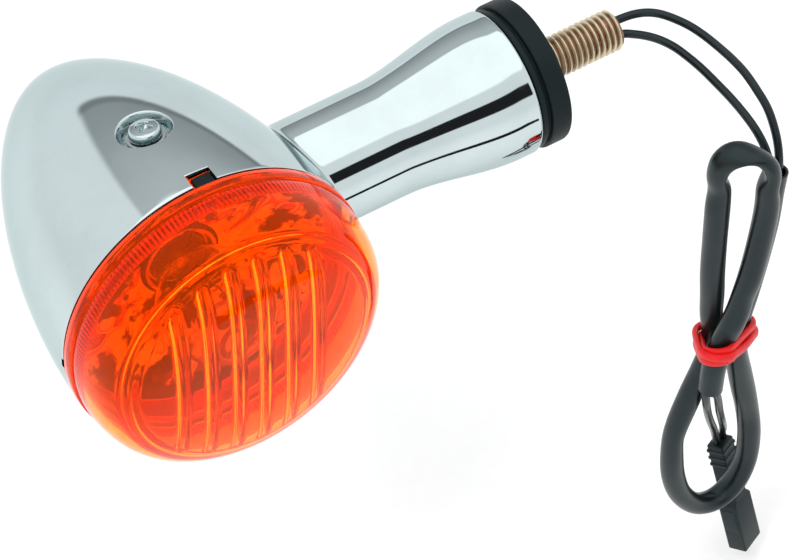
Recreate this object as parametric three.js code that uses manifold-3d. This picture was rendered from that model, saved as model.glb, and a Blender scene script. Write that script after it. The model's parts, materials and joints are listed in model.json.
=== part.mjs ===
// Turn signal indicator of a motorcycle: a chromed bullet lamp on a flared stalk that ends in a
// rubber base and a hollow threaded stud. Millimetres. The stud runs along +X from the mounting
// face at the origin, the lens faces -Y and +Z is up. The lamp's own group has its origin where
// the bullet's axis crosses its mouth plane, with +Y towards the nose.
import * as THREE from "three";
import { mergeVertices } from "three/addons/utils/BufferGeometryUtils.js";
import Module from "manifold-3d";

const wasm = await Module();
wasm.setup();

// ---- driving dimensions -------------------------------------------------------------------
const GAP = 0.3; // between pieces that touch
const DEGREE = Math.PI / 180;

const REACH = 93.4; // mounting face to the bullet's axis
const MOUTH_AHEAD = 19.9; // stalk axis to the bullet's mouth plane

const MOUTH_RADIUS = 35.5;
const NOSE_LENGTH = 76.6;
const NOSE_POWER = 1.79; // superellipse exponents of the bullet's profile
const GIRTH_POWER = 1.78;
const SHELL_WALL = 2;

const LENS_DEPTH = 21.9;
const LENS_DEPTH_POWER = 3.8;
const LENS_GIRTH_POWER = 3.6;
const LENS_WALL = 2.2;
const SKIRT_LENGTH = 4.5; // how far the lens reaches into the housing
const SKIRT_WALL = 2;
const SKIRT_PLAY = 0.4;
const GASKET_THICKNESS = 0.6;
const RIB_COUNT = 6;
const RIB_PITCH = 6.4;
const RIB_WIDTH = 1.3;
const RIB_HEIGHT = 1;
const RIB_FIELD_RADIUS = 27; // the ribs end at a round ridge of this radius

const NOTCH_WIDTH = 5.6;
const NOTCH_LENGTH = 3.8;
const NOTCH_OFFSET = 2.4; // along X from the bullet's axis

const REFLECTOR_DEPTH = 10;
const REFLECTOR_WALL = 1.2;
const REFLECTOR_FLANGE = 1.5;
const LEDGE_HEIGHT = 2; // ring inside the housing that the reflector rests on
const LEDGE_THICKNESS = 1.5;

const SCREW_BACK = 22.8; // mouth plane to the housing screw
const RECESS_RADIUS = 6.25;
const RECESS_FLOOR_RADIUS = 5.3;
const RECESS_DEPTH = 3.2;
const BOSS_RADIUS = 7.9;
const BOSS_FLOOR = 2.8;
const SCREW_RADIUS = 2; // M4
const SCREW_LENGTH = 11;
const HEAD_TO_SHANK = 1.8; // pan head radius and height, washer radius, all per shank radius
const HEAD_HEIGHT_TO_SHANK = 1.15;
const WASHER_TO_SHANK = 2.15;
const WASHER_THICKNESS = 0.8;
const NUT_RADIUS = 4.05; // across the corners of a 7 mm hexagon
const NUT_THICKNESS = 3.2;

const CAP_RADIUS = 7.5; // bayonet bulb cap, 15 mm
const CAP_LENGTH = 16.4;
const CAP_FRONT = 14.5; // mouth plane to the cap's front edge
const BULB_RADIUS = 12.5;
const BULB_REACH = 28.5; // cap's front edge to the tip of the glass
const NECK_RADIUS = 6.6;
const GLASS_WALL = 0.7;
const PIN_RADIUS = 1;
const PIN_REACH = 8.9; // bulb axis to the end of a bayonet pin
const PIN_BACK = 9; // cap's front edge to the pins
const PUSH_TRAVEL = 1.8;
const TWIST = 20 * DEGREE;
const SOLDER_RADIUS = 2.4;
const SOLDER_HEIGHT = 1;

const SOCKET_PLAY = 0.4;
const SOCKET_WALL = 0.8;
const SOCKET_LENGTH = 29;
const SOCKET_LIP = 1.5; // the socket starts this far ahead of the cap
const SOCKET_FLANGE_BACK = 22.5;
const SOCKET_FLANGE_RADIUS = 10.8;
const SLOT_WIDTH = 2.8;
const LEAD_HOLE_RADIUS = 2.4;
const CARRIER_THICKNESS = 2.5;
const CONTACT_HEIGHT = 1.1;
const SPRING_WIRE = 0.35;
const SPRING_RADIUS = 5.6;
const SPRING_TURNS = 3.5;

const STRAP_WIDTH = 12;
const STRAP_THICKNESS = 1.2;
const STRAP_RING_RADIUS = 11.6;
const TAB_LENGTH = 19;

const TUBE_RADIUS = 13.4; // stalk, where it meets the bullet
const TUBE_WAIST_GROWTH = 0.2;
const TUBE_END_RADIUS = 17.4;
const TUBE_WALL = 2.2;
const FLARE_START = -39.4; // along X
const FLARE_END = -11.4;
const EDGE_RADIUS = 0.6;
const PLUG_LENGTH = 8;
const TENON_RADIUS = 4;
const TENON_END = 24; // bullet axis to the tenon's end
const PAD_INSET = 7.5; // mouth radius to the flat seat that the stalk is screwed on
const PAD_FACE = MOUTH_RADIUS - PAD_INSET; // from the bullet's axis
const STALK_SCREW_RADIUS = 1.5; // M3
const STALK_SCREW_SPACING = 15;
const WIRE_WAY_RADIUS = 2.9;

const BASE_THICKNESS = 7.3;
const BASE_LIP_RADIUS = 16.9;
const BASE_GROOVE_RADIUS = 16.1;
const BASE_RING_RADIUS = 17.5;
const BASE_LIP_THICKNESS = 1.5;
const BASE_GROOVE_WIDTH = 0.8;

const STUD_RADIUS = 5; // M10
const STUD_BORE_RADIUS = 3.1;
const STUD_LENGTH = 22.5; // beyond the mounting face
const STUD_FLANGE_RADIUS = 11;
const STUD_FLANGE_THICKNESS = 3;
const STUD_CHAMFER = 0.8;

const WIRE_RADIUS = 1;
const SLEEVE_RADIUS = 2.9;
const BAND_HEIGHT = 6.5;
const BAND_THICKNESS = 1.3;

// ---- solids -------------------------------------------------------------------------------
const ROUND = 32; // sides of a large round
const SMALL_ROUND = 16;
const PROFILE_STEPS = 8; // along a curved profile
const WIRE_SIDES = 8;
const SLEEVE_SIDES = 8;

function solid(geometry) {
  const bare = geometry.clone();
  bare.deleteAttribute("normal");
  bare.deleteAttribute("uv");
  const merged = mergeVertices(bare, 1e-4);
  const corners = merged.index.array;
  const triangles = [];
  for (let i = 0; i < corners.length; i += 3) {
    const [a, b, c] = corners.slice(i, i + 3);
    if (a !== b && b !== c && c !== a) triangles.push(a, b, c);
  }
  return new wasm.Manifold(
    new wasm.Mesh({
      numProp: 3,
      vertProperties: merged.attributes.position.array,
      triVerts: new Uint32Array(triangles),
    }),
  );
}

function geometryOf(body) {
  const mesh = body.getMesh();
  const positions = new THREE.BufferAttribute(mesh.vertProperties, mesh.numProp);
  const geometry = new THREE.BufferGeometry().setAttribute("position", positions);
  geometry.setIndex(new THREE.BufferAttribute(mesh.triVerts, 1));
  geometry.computeVertexNormals();
  return geometry;
}

function join(...geometries) {
  return geometryOf(geometries.map(solid).reduce((whole, piece) => whole.add(piece)));
}

function cut(geometry, ...tools) {
  return geometryOf(tools.map(solid).reduce((whole, tool) => whole.subtract(tool), solid(geometry)));
}

function common(geometry, other) {
  return geometryOf(solid(geometry).intersect(solid(other)));
}

// A profile of [radius, along] points turned about +Y; it closes on itself or on the axis.
function revolve(profile, sides = ROUND) {
  const points = profile.map(([radius, along]) => new THREE.Vector2(Math.max(radius, 0), along));
  const onAxis = points[0].x === 0 && points[points.length - 1].x === 0;
  if (!onAxis) points.push(points[0].clone());
  if (THREE.ShapeUtils.area(points) < 0) points.reverse();
  return geometryOf(solid(new THREE.LatheGeometry(points, sides)));
}

function alongX(geometry) {
  return geometry.rotateZ(-Math.PI / 2);
}

function rod(radius, from, to, sides = SMALL_ROUND) {
  return revolve([[0, from], [radius, from], [radius, to], [0, to]], sides);
}

function ring(inner, outer, from, to, sides = ROUND) {
  return revolve([[inner, from], [outer, from], [outer, to], [inner, to]], sides);
}

function box(low, high) {
  const size = high.map((value, i) => value - low[i]);
  const middle = high.map((value, i) => (value + low[i]) / 2);
  return new THREE.BoxGeometry(...size).translate(...middle);
}

// Part of a ring about Y; angles run from +Z towards +X.
function sector(inner, outer, fromAngle, toAngle, from, to) {
  const steps = 8;
  const at = (radius, angle) => new THREE.Vector2(radius * Math.sin(angle), -radius * Math.cos(angle));
  const angles = Array.from({ length: steps + 1 }, (_, i) =>
    THREE.MathUtils.lerp(fromAngle, toAngle, i / steps),
  );
  const outline = angles.map((angle) => at(outer, angle));
  outline.push(...angles.reverse().map((angle) => at(inner, angle)));
  const shape = new THREE.Shape(outline);
  const block = new THREE.ExtrudeGeometry(shape, { depth: to - from, bevelEnabled: false });
  return block.rotateX(-Math.PI / 2).translate(0, from, 0);
}

function tube(points, radius, steps, sides) {
  const route = new THREE.CatmullRomCurve3(points.map((point) => new THREE.Vector3(...point)));
  const corners = Array.from({ length: sides }, (_, i) => {
    const angle = (2 * Math.PI * i) / sides;
    return new THREE.Vector2(radius * Math.cos(angle), radius * Math.sin(angle));
  });
  const section = new THREE.Shape(corners);
  const body = solid(
    new THREE.ExtrudeGeometry(section, { steps, extrudePath: route, bevelEnabled: false }),
  );
  return geometryOf(body);
}

// ---- the group and its materials ----------------------------------------------------------
const part = new THREE.Group();
const lamp = new THREE.Group();
lamp.position.set(-REACH, -MOUTH_AHEAD, 0);
part.add(lamp);

const FINISH = {
  chrome: { color: 0xc6d4d4, roughness: 0.06, metalness: 1 },
  amber: { color: 0xf04a06, roughness: 0.08, metalness: 0 },
  mirror: { color: 0xdadfe0, roughness: 0.12, metalness: 1 },
  rubber: { color: 0x222b2e, roughness: 0.6, metalness: 0 },
  plated: { color: 0xb09a78, roughness: 0.35, metalness: 1 },
  steel: { color: 0xb9bcbc, roughness: 0.35, metalness: 1 },
  brass: { color: 0xc9a558, roughness: 0.3, metalness: 1 },
  zinc: { color: 0x8d9293, roughness: 0.5, metalness: 1 },
  insulator: { color: 0x6b4326, roughness: 0.7, metalness: 0 },
  glass: { color: 0xf2f4f2, roughness: 0.03, metalness: 0 },
  tungsten: { color: 0x55565a, roughness: 0.4, metalness: 1 },
  vinyl: { color: 0x20272a, roughness: 0.45, metalness: 0 },
  insulation: { color: 0x15191b, roughness: 0.3, metalness: 0 },
  red: { color: 0xe2281c, roughness: 0.45, metalness: 0 },
  nylon: { color: 0x242f31, roughness: 0.5, metalness: 0 },
};

function add(parent, name, geometry, finish) {
  const mesh = new THREE.Mesh(geometry, new THREE.MeshStandardMaterial(FINISH[finish]));
  mesh.name = name;
  parent.add(mesh);
  return mesh;
}

// ---- bullet housing -----------------------------------------------------------------------
// (along / length)^NOSE_POWER + (radius / mouth)^GIRTH_POWER = 1, shrunk or grown by an offset.
function superellipse(length, radius, lengthPower, radiusPower, from = 0) {
  return Array.from({ length: PROFILE_STEPS + 1 }, (_, i) => {
    const along = from + (length - from) * Math.sin((Math.PI / 2) * (i / PROFILE_STEPS));
    const share = Math.max(0, 1 - (along / length) ** lengthPower);
    return [i === PROFILE_STEPS ? 0 : radius * share ** (1 / radiusPower), along];
  });
}

function bulletProfile(offset) {
  return superellipse(NOSE_LENGTH + offset, MOUTH_RADIUS + offset, NOSE_POWER, GIRTH_POWER);
}

function bulletBody(offset) {
  return revolve([[0, 0], ...bulletProfile(offset)]);
}

function bulletRadius(along) {
  return MOUTH_RADIUS * (1 - (along / NOSE_LENGTH) ** NOSE_POWER) ** (1 / GIRTH_POWER);
}

// The housing screw stands square to the bullet's surface, in the plane above its axis.
const NUDGE = 0.01;
const SLOPE = (bulletRadius(SCREW_BACK) - bulletRadius(SCREW_BACK + NUDGE)) / NUDGE;
const SCREW_TILT = Math.atan(SLOPE);

function onScrewAxis(geometry) {
  return geometry
    .rotateX(Math.PI / 2 - SCREW_TILT)
    .translate(0, SCREW_BACK, bulletRadius(SCREW_BACK));
}

const SKIRT_OUTER = MOUTH_RADIUS - SHELL_WALL - SKIRT_PLAY;
const SKIRT_INNER = SKIRT_OUTER - SKIRT_WALL;
const REFLECTOR_RADIUS = SKIRT_OUTER - SKIRT_PLAY;
const FLANGE_FRONT = SKIRT_LENGTH + GAP;
const LEDGE_FRONT = FLANGE_FRONT + REFLECTOR_WALL + GAP;

const PLUG_RADIUS = TUBE_RADIUS - TUBE_WALL - GAP;

// Points on the stalk's own axis are at MOUTH_AHEAD behind the mouth plane.
function onStalkAxis(geometry) {
  return alongX(geometry).translate(0, MOUTH_AHEAD, 0);
}

function stalkScrewPlaces(geometry) {
  return [1, -1].map((side) => geometry.clone().translate(0, 0, (side * STALK_SCREW_SPACING) / 2));
}

function housing() {
  const outside = bulletBody(0);
  const shell = revolve([...bulletProfile(0), ...bulletProfile(-SHELL_WALL).reverse()]);
  const ledge = common(
    ring(SKIRT_OUTER - LEDGE_HEIGHT, MOUTH_RADIUS + GAP, LEDGE_FRONT, LEDGE_FRONT + LEDGE_THICKNESS),
    bulletBody(-SHELL_WALL / 2),
  );
  const boss = common(
    onScrewAxis(rod(BOSS_RADIUS, -RECESS_DEPTH - BOSS_FLOOR, RECESS_DEPTH)),
    bulletBody(-GAP / 2),
  );
  const pad = common(onStalkAxis(rod(PLUG_RADIUS + GAP, PAD_FACE, MOUTH_RADIUS)), bulletBody(-GAP / 2));
  const recessSlope = (RECESS_RADIUS - RECESS_FLOOR_RADIUS) / RECESS_DEPTH;
  const recess = onScrewAxis(
    revolve(
      [
        [0, -RECESS_DEPTH],
        [RECESS_FLOOR_RADIUS, -RECESS_DEPTH],
        [RECESS_RADIUS + recessSlope * RECESS_DEPTH, RECESS_DEPTH],
        [0, RECESS_DEPTH],
      ],
      ROUND,
    ),
  );
  const screwHole = onScrewAxis(rod(SCREW_RADIUS + GAP, -MOUTH_RADIUS / 2, RECESS_DEPTH));
  const tenonHole = onStalkAxis(rod(TENON_RADIUS + GAP, PAD_FACE / 2, 2 * MOUTH_RADIUS));
  const stalkScrewHoles = stalkScrewPlaces(
    onStalkAxis(rod(STALK_SCREW_RADIUS + GAP, PAD_FACE / 2, 2 * MOUTH_RADIUS)),
  );
  const notch = box(
    [NOTCH_OFFSET - NOTCH_WIDTH / 2, -1, SKIRT_OUTER + GAP / 3],
    [NOTCH_OFFSET + NOTCH_WIDTH / 2, NOTCH_LENGTH, MOUTH_RADIUS + 1],
  );
  return cut(join(shell, ledge, boss, pad), recess, screwHole, tenonHole, ...stalkScrewHoles, notch);
}

add(lamp, "housing", housing(), "chrome");

// ---- lens and gasket ----------------------------------------------------------------------
const FLANGE_BACK = GASKET_THICKNESS + 2 * GAP; // lens flange to the mouth plane

function domeProfile(offset, from) {
  const profile = superellipse(
    LENS_DEPTH + offset,
    MOUTH_RADIUS + offset,
    LENS_DEPTH_POWER,
    LENS_GIRTH_POWER,
    from,
  );
  return profile.map(([radius, along]) => [radius, -along]);
}

function domeBody(offset) {
  return revolve([[0, -FLANGE_BACK], ...domeProfile(offset, FLANGE_BACK)]);
}

function lens() {
  const step = FLANGE_BACK + LENS_WALL; // inside, where the wall steps in to the skirt
  const cup = revolve([
    [SKIRT_OUTER, -FLANGE_BACK],
    ...domeProfile(0, FLANGE_BACK),
    ...domeProfile(-LENS_WALL, step).reverse(),
    [SKIRT_INNER, -step],
    [SKIRT_INNER, SKIRT_LENGTH],
    [SKIRT_OUTER, SKIRT_LENGTH],
  ]);
  const ribLayer = cut(domeBody(GAP - LENS_WALL), domeBody(-LENS_WALL - RIB_HEIGHT));
  const depthRange = [-2 * LENS_DEPTH, -LENS_DEPTH / 2];
  const ridge = ring(RIB_FIELD_RADIUS, RIB_FIELD_RADIUS + RIB_WIDTH, ...depthRange);
  ridge.rotateY(Math.PI / ROUND); // its corners fall between those of the dome
  const patterns = [ridge];
  for (let i = 0; i < RIB_COUNT; i += 1) {
    const x = (i - (RIB_COUNT - 1) / 2) * RIB_PITCH;
    const half = Math.sqrt((RIB_FIELD_RADIUS + RIB_WIDTH / 2) ** 2 - x * x);
    const low = [x - RIB_WIDTH / 2, depthRange[0], -half];
    const high = [x + RIB_WIDTH / 2, depthRange[1], half];
    patterns.push(box(low, high));
  }
  return join(cup, common(join(...patterns), ribLayer));
}

add(lamp, "lens", lens(), "amber");
add(
  lamp,
  "lens_gasket",
  ring(SKIRT_OUTER + GAP, MOUTH_RADIUS - GAP, GAP - FLANGE_BACK, -GAP),
  "rubber",
);

// ---- reflector ----------------------------------------------------------------------------
const SOCKET_INNER = CAP_RADIUS + SOCKET_PLAY;
const SOCKET_OUTER = SOCKET_INNER + SOCKET_WALL;
const REFLECTOR_HOLE = SOCKET_OUTER + 3 * GAP;

function reflector() {
  const dishRadius = REFLECTOR_RADIUS - REFLECTOR_FLANGE;
  const steps = 8;
  const dish = Array.from({ length: steps + 1 }, (_, i) => {
    const radius = dishRadius + (REFLECTOR_HOLE - dishRadius) * (i / steps);
    return [radius, FLANGE_FRONT + REFLECTOR_DEPTH * (1 - (radius / dishRadius) ** 2)];
  });
  const back = dish.map(([radius, along]) => [radius, along + REFLECTOR_WALL]).reverse();
  return revolve([
    [REFLECTOR_RADIUS, FLANGE_FRONT],
    ...dish,
    ...back,
    [REFLECTOR_RADIUS, FLANGE_FRONT + REFLECTOR_WALL],
  ]);
}

add(lamp, "reflector", reflector(), "mirror");

// ---- bulb ---------------------------------------------------------------------------------
const CAP_BACK = CAP_FRONT + CAP_LENGTH;

function bulbCap() {
  const cap = revolve([
    [NECK_RADIUS + GAP, CAP_FRONT],
    [CAP_RADIUS, CAP_FRONT],
    [CAP_RADIUS, CAP_BACK - 1],
    [CAP_RADIUS - 1, CAP_BACK],
    [0, CAP_BACK],
    [0, CAP_FRONT + CAP_LENGTH / 2],
    [NECK_RADIUS + GAP, CAP_FRONT + CAP_LENGTH / 2],
  ]);
  const pins = [Math.PI / 2, -Math.PI / 2].map((turn) =>
    rod(PIN_RADIUS, (NECK_RADIUS + CAP_RADIUS) / 2, PIN_REACH, 12)
      .rotateX(turn)
      .translate(0, CAP_FRONT + PIN_BACK, 0),
  );
  return join(cap, ...pins);
}

// Pear shaped: a ball whose radius eases into the neck.
function glassProfile(offset) {
  const tip = CAP_FRONT - BULB_REACH - offset;
  const ball = BULB_RADIUS + offset;
  const neck = NECK_RADIUS + offset;
  const neckAngle = Math.PI - Math.asin((neck + 1) / ball);
  const arc = Array.from({ length: PROFILE_STEPS + 1 }, (_, i) => {
    const angle = (neckAngle * i) / PROFILE_STEPS;
    return [i === 0 ? 0 : ball * Math.sin(angle), tip + ball * (1 - Math.cos(angle))];
  });
  return [...arc, [neck, CAP_FRONT - 1], [neck, CAP_FRONT + CAP_LENGTH / 2 - 2 * GAP]];
}

function filament() {
  const middle = CAP_FRONT - BULB_REACH + BULB_RADIUS;
  const post = 0.3;
  const reach = 3;
  const foot = CAP_FRONT + 2;
  const posts = [1, -1].map((side) => rod(post, middle - post, foot, 6).translate(side * reach, 0, 0));
  const coil = alongX(rod(2 * post, -reach, reach, 8)).translate(0, middle, 0);
  const stem = rod(NECK_RADIUS - GLASS_WALL - 2 * GAP, foot - 1, foot + 3, 12);
  return join(...posts, coil, stem);
}

add(lamp, "bulb_cap", bulbCap(), "steel");
add(
  lamp,
  "bulb_glass",
  revolve([...glassProfile(0), ...glassProfile(-GLASS_WALL).reverse()], 24),
  "glass",
);
add(lamp, "bulb_filament", filament(), "tungsten");
add(lamp, "bulb_contact", rod(SOLDER_RADIUS, CAP_BACK + GAP, CAP_BACK + GAP + SOLDER_HEIGHT), "zinc");

// ---- bayonet socket -----------------------------------------------------------------------
const SOCKET_FRONT = CAP_FRONT - SOCKET_LIP;
const SOCKET_BACK = SOCKET_FRONT + SOCKET_LENGTH;
const FLANGE_AT = SOCKET_FRONT + SOCKET_FLANGE_BACK;
const CONTACT_FRONT = CAP_BACK + SOLDER_HEIGHT + 2 * GAP;
const CARRIER_FRONT = CONTACT_FRONT + CONTACT_HEIGHT + GAP;
const CARRIER_BACK = CARRIER_FRONT + CARRIER_THICKNESS;

function socket() {
  const cup = revolve([
    [SOCKET_INNER, SOCKET_FRONT],
    [SOCKET_OUTER, SOCKET_FRONT],
    [SOCKET_OUTER, FLANGE_AT],
    [SOCKET_FLANGE_RADIUS, FLANGE_AT],
    [SOCKET_FLANGE_RADIUS, FLANGE_AT + SOCKET_WALL],
    [SOCKET_OUTER, FLANGE_AT + SOCKET_WALL],
    [SOCKET_OUTER, SOCKET_BACK],
    [LEAD_HOLE_RADIUS, SOCKET_BACK],
    [LEAD_HOLE_RADIUS, SOCKET_BACK - SOCKET_WALL],
    [SOCKET_INNER, SOCKET_BACK - SOCKET_WALL],
  ]);
  const pinPlane = CAP_FRONT + PIN_BACK;
  const clearance = SLOT_WIDTH / 2;
  const spread = clearance / SOCKET_INNER;
  const radii = [SOCKET_INNER - 1, SOCKET_OUTER + 1];
  const slotFront = pinPlane - clearance;
  const slotBack = pinPlane + PUSH_TRAVEL + clearance;
  const slots = [];
  for (const side of [0, Math.PI]) {
    const lane = box([-clearance, SOCKET_FRONT - 1, radii[0]], [clearance, slotBack, radii[1]]);
    slots.push(lane.rotateY(side + TWIST));
    slots.push(sector(...radii, side - spread, side + TWIST, slotFront, slotBack));
  }
  return cut(cup, ...slots);
}

function spring() {
  const from = CARRIER_BACK + GAP + SPRING_WIRE;
  const to = SOCKET_BACK - SOCKET_WALL - GAP - SPRING_WIRE;
  const steps = 10 * SPRING_TURNS;
  const points = Array.from({ length: steps + 1 }, (_, i) => {
    const angle = (2 * Math.PI * SPRING_TURNS * i) / steps;
    const along = from + ((to - from) * i) / steps;
    return [SPRING_RADIUS * Math.sin(angle), along, SPRING_RADIUS * Math.cos(angle)];
  });
  return tube(points, SPRING_WIRE, steps, 5);
}

add(lamp, "bulb_socket", socket(), "steel");
add(lamp, "contact_carrier", rod(CAP_RADIUS - GAP / 3, CARRIER_FRONT, CARRIER_BACK, 28), "insulator");
add(lamp, "contact_tip", rod(SOLDER_RADIUS, CONTACT_FRONT, CARRIER_FRONT - GAP, 16), "brass");
add(lamp, "contact_spring", spring(), "steel");

// ---- bracket between the socket and the housing screw -------------------------------------
const STRAP_FRONT = FLANGE_AT + SOCKET_WALL + GAP;
const TAB_DEPTH = RECESS_DEPTH + BOSS_FLOOR + GAP;
const TAG_LENGTH = 5;

function bracket() {
  const collar = ring(SOCKET_OUTER + GAP, STRAP_RING_RADIUS, STRAP_FRONT, STRAP_FRONT + STRAP_THICKNESS);
  const tab = onScrewAxis(
    box(
      [-STRAP_WIDTH / 2, -TAB_DEPTH - STRAP_THICKNESS, -TAB_LENGTH],
      [STRAP_WIDTH / 2, -TAB_DEPTH, BOSS_RADIUS - 1],
    ),
  );
  const strapHeight = bulletRadius(SCREW_BACK) - TAB_DEPTH - (STRAP_FRONT - SCREW_BACK) * SLOPE;
  const strap = box(
    [-STRAP_WIDTH / 2, STRAP_FRONT, SOCKET_OUTER + 2 * GAP],
    [STRAP_WIDTH / 2, STRAP_FRONT + STRAP_THICKNESS, strapHeight - STRAP_THICKNESS / 2],
  );
  const beyond = box(
    [-STRAP_WIDTH, STRAP_FRONT + STRAP_THICKNESS, 0],
    [STRAP_WIDTH, 2 * NOSE_LENGTH, MOUTH_RADIUS],
  );
  const hole = onScrewAxis(rod(SCREW_RADIUS + GAP, -TAB_DEPTH - 2 * STRAP_THICKNESS, 0));
  return cut(join(collar, cut(tab, beyond), strap), hole);
}

function groundTag() {
  const back = STRAP_FRONT + STRAP_THICKNESS + GAP;
  const radius = (SOCKET_OUTER + STRAP_RING_RADIUS) / 2;
  return box([-1.5, back, -radius - TAG_LENGTH], [1.5, back + SOCKET_WALL, -radius]);
}

function lockNut() {
  const top = -TAB_DEPTH - STRAP_THICKNESS - GAP;
  const nut = rod(NUT_RADIUS, top - NUT_THICKNESS, top, 6);
  return cut(nut, rod(SCREW_RADIUS + GAP, top - 2 * NUT_THICKNESS, top + 1));
}

add(lamp, "socket_bracket", bracket(), "steel");
add(lamp, "ground_tag", groundTag(), "brass");
add(lamp, "bracket_nut", onScrewAxis(lockNut()), "steel");

// ---- housing screw and washer -------------------------------------------------------------
function washer(shank) {
  return ring(shank + GAP, shank * WASHER_TO_SHANK, 0, WASHER_THICKNESS, 20);
}

// A pan head screw whose head rests at 0 and whose shank points down, with a cross recess.
function panScrew(shank, length) {
  const headRadius = shank * HEAD_TO_SHANK;
  const headHeight = shank * HEAD_HEIGHT_TO_SHANK;
  const head = revolve(
    [
      [0, -length],
      [shank, -length],
      [shank, 0],
      [headRadius, 0],
      [headRadius, headHeight * 0.45],
      [headRadius * 0.82, headHeight * 0.85],
      [headRadius * 0.45, headHeight],
      [0, headHeight],
    ],
    20,
  );
  const wing = headRadius * 0.55;
  const blade = headRadius / 8;
  const slots = [Math.PI / 4, -Math.PI / 4].map((turn) =>
    box([-wing, headHeight * 0.45, -blade], [wing, 2 * headHeight, blade]).rotateY(turn),
  );
  return cut(head, ...slots);
}

const WASHER_SEAT = GAP - RECESS_DEPTH;
const HEAD_SEAT = WASHER_SEAT + WASHER_THICKNESS + GAP;
const housingScrew = panScrew(SCREW_RADIUS, SCREW_LENGTH).translate(0, HEAD_SEAT, 0);
const housingWasher = washer(SCREW_RADIUS).translate(0, WASHER_SEAT, 0);
add(lamp, "housing_screw", onScrewAxis(housingScrew), "chrome");
add(lamp, "screw_washer", onScrewAxis(housingWasher), "steel");

// ---- stalk --------------------------------------------------------------------------------
const TUBE_END = -BASE_THICKNESS - GAP;

function tubeRadius(x) {
  const share = THREE.MathUtils.smoothstep(x, FLARE_START, FLARE_END);
  const waist = TUBE_RADIUS + TUBE_WAIST_GROWTH * ((x + REACH) / (FLARE_START + REACH));
  return THREE.MathUtils.lerp(waist, TUBE_END_RADIUS, share);
}

function bulletInPlace(offset) {
  return bulletBody(offset).translate(-REACH, -MOUTH_AHEAD, 0);
}

function stalk() {
  const steps = 11;
  const start = -REACH + PAD_FACE - 4;
  const stop = TUBE_END - EDGE_RADIUS;
  const outside = Array.from({ length: steps + 1 }, (_, i) => {
    const x = start + ((stop - start) * i) / steps;
    return [tubeRadius(x), x];
  });
  const inside = outside.map(([radius, x]) => [radius - TUBE_WALL, x]).reverse();
  const profile = [
    ...outside,
    [TUBE_END_RADIUS - EDGE_RADIUS, TUBE_END],
    [TUBE_END_RADIUS - TUBE_WALL, TUBE_END],
    ...inside,
  ];
  return cut(alongX(revolve(profile)), bulletInPlace(GAP));
}

// The plug in the stalk's inner end, with a tenon that passes through the housing's wall.
function stalkPlug() {
  const face = MOUTH_RADIUS + GAP;
  const plug = cut(
    alongX(rod(PLUG_RADIUS, PAD_FACE, face + PLUG_LENGTH, 28)).translate(-REACH, 0, 0),
    bulletInPlace(2 * GAP),
  );
  const tenon = alongX(rod(TENON_RADIUS, TENON_END, face + 1, 28)).translate(-REACH, 0, 0);
  const wireWay = alongX(rod(WIRE_WAY_RADIUS, 0, face + 2 * PLUG_LENGTH)).translate(-REACH, 0, 0);
  const screwHole = alongX(rod(STALK_SCREW_RADIUS + GAP, 0, face + 2 * PLUG_LENGTH));
  return cut(join(plug, tenon), wireWay, ...stalkScrewPlaces(screwHole.translate(-REACH, 0, 0)));
}

function baseRubber() {
  const lip = -BASE_THICKNESS + BASE_LIP_THICKNESS;
  const groove = lip + BASE_GROOVE_WIDTH;
  const bevel = 0.5;
  const hole = STUD_RADIUS + GAP;
  return revolve([
    [hole, -BASE_THICKNESS],
    [BASE_LIP_RADIUS - bevel, -BASE_THICKNESS],
    [BASE_LIP_RADIUS, -BASE_THICKNESS + bevel],
    [BASE_LIP_RADIUS, lip],
    [BASE_GROOVE_RADIUS, lip],
    [BASE_GROOVE_RADIUS, groove],
    [BASE_RING_RADIUS - bevel, groove],
    [BASE_RING_RADIUS, groove + bevel],
    [BASE_RING_RADIUS, -bevel],
    [BASE_RING_RADIUS - bevel, 0],
    [hole, 0],
  ]);
}

// The stud is welded into a round plate that closes the stalk's outer end.
function stud() {
  const plateBack = TUBE_END - GAP;
  const plateFront = plateBack - STUD_FLANGE_THICKNESS;
  return revolve(
    [
      [STUD_BORE_RADIUS, plateFront],
      [STUD_FLANGE_RADIUS, plateFront],
      [STUD_FLANGE_RADIUS, plateBack],
      [STUD_RADIUS, plateBack],
      [STUD_RADIUS, STUD_LENGTH - STUD_CHAMFER],
      [STUD_RADIUS - STUD_CHAMFER, STUD_LENGTH],
      [STUD_BORE_RADIUS, STUD_LENGTH],
    ],
    32,
  );
}

add(part, "stalk", stalk(), "chrome");
add(part, "stalk_plug", stalkPlug(), "zinc");
add(part, "base_rubber", alongX(baseRubber()), "rubber");
add(part, "stud", alongX(stud()), "plated");

const SCREW_REACH = MOUTH_RADIUS + GAP + PLUG_LENGTH - PAD_FACE;
const stalkWashers = stalkScrewPlaces(
  onStalkAxis(washer(STALK_SCREW_RADIUS).translate(0, PAD_FACE - GAP - WASHER_THICKNESS, 0)),
);
const stalkScrews = stalkScrewPlaces(
  onStalkAxis(
    panScrew(STALK_SCREW_RADIUS, SCREW_REACH)
      .rotateX(Math.PI)
      .translate(0, PAD_FACE - 2 * GAP - WASHER_THICKNESS, 0),
  ),
);
["upper", "lower"].forEach((place, i) => {
  add(lamp, "stalk_washer_" + place, stalkWashers[i], "steel");
  add(lamp, "stalk_screw_" + place, stalkScrews[i], "steel");
});

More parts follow.
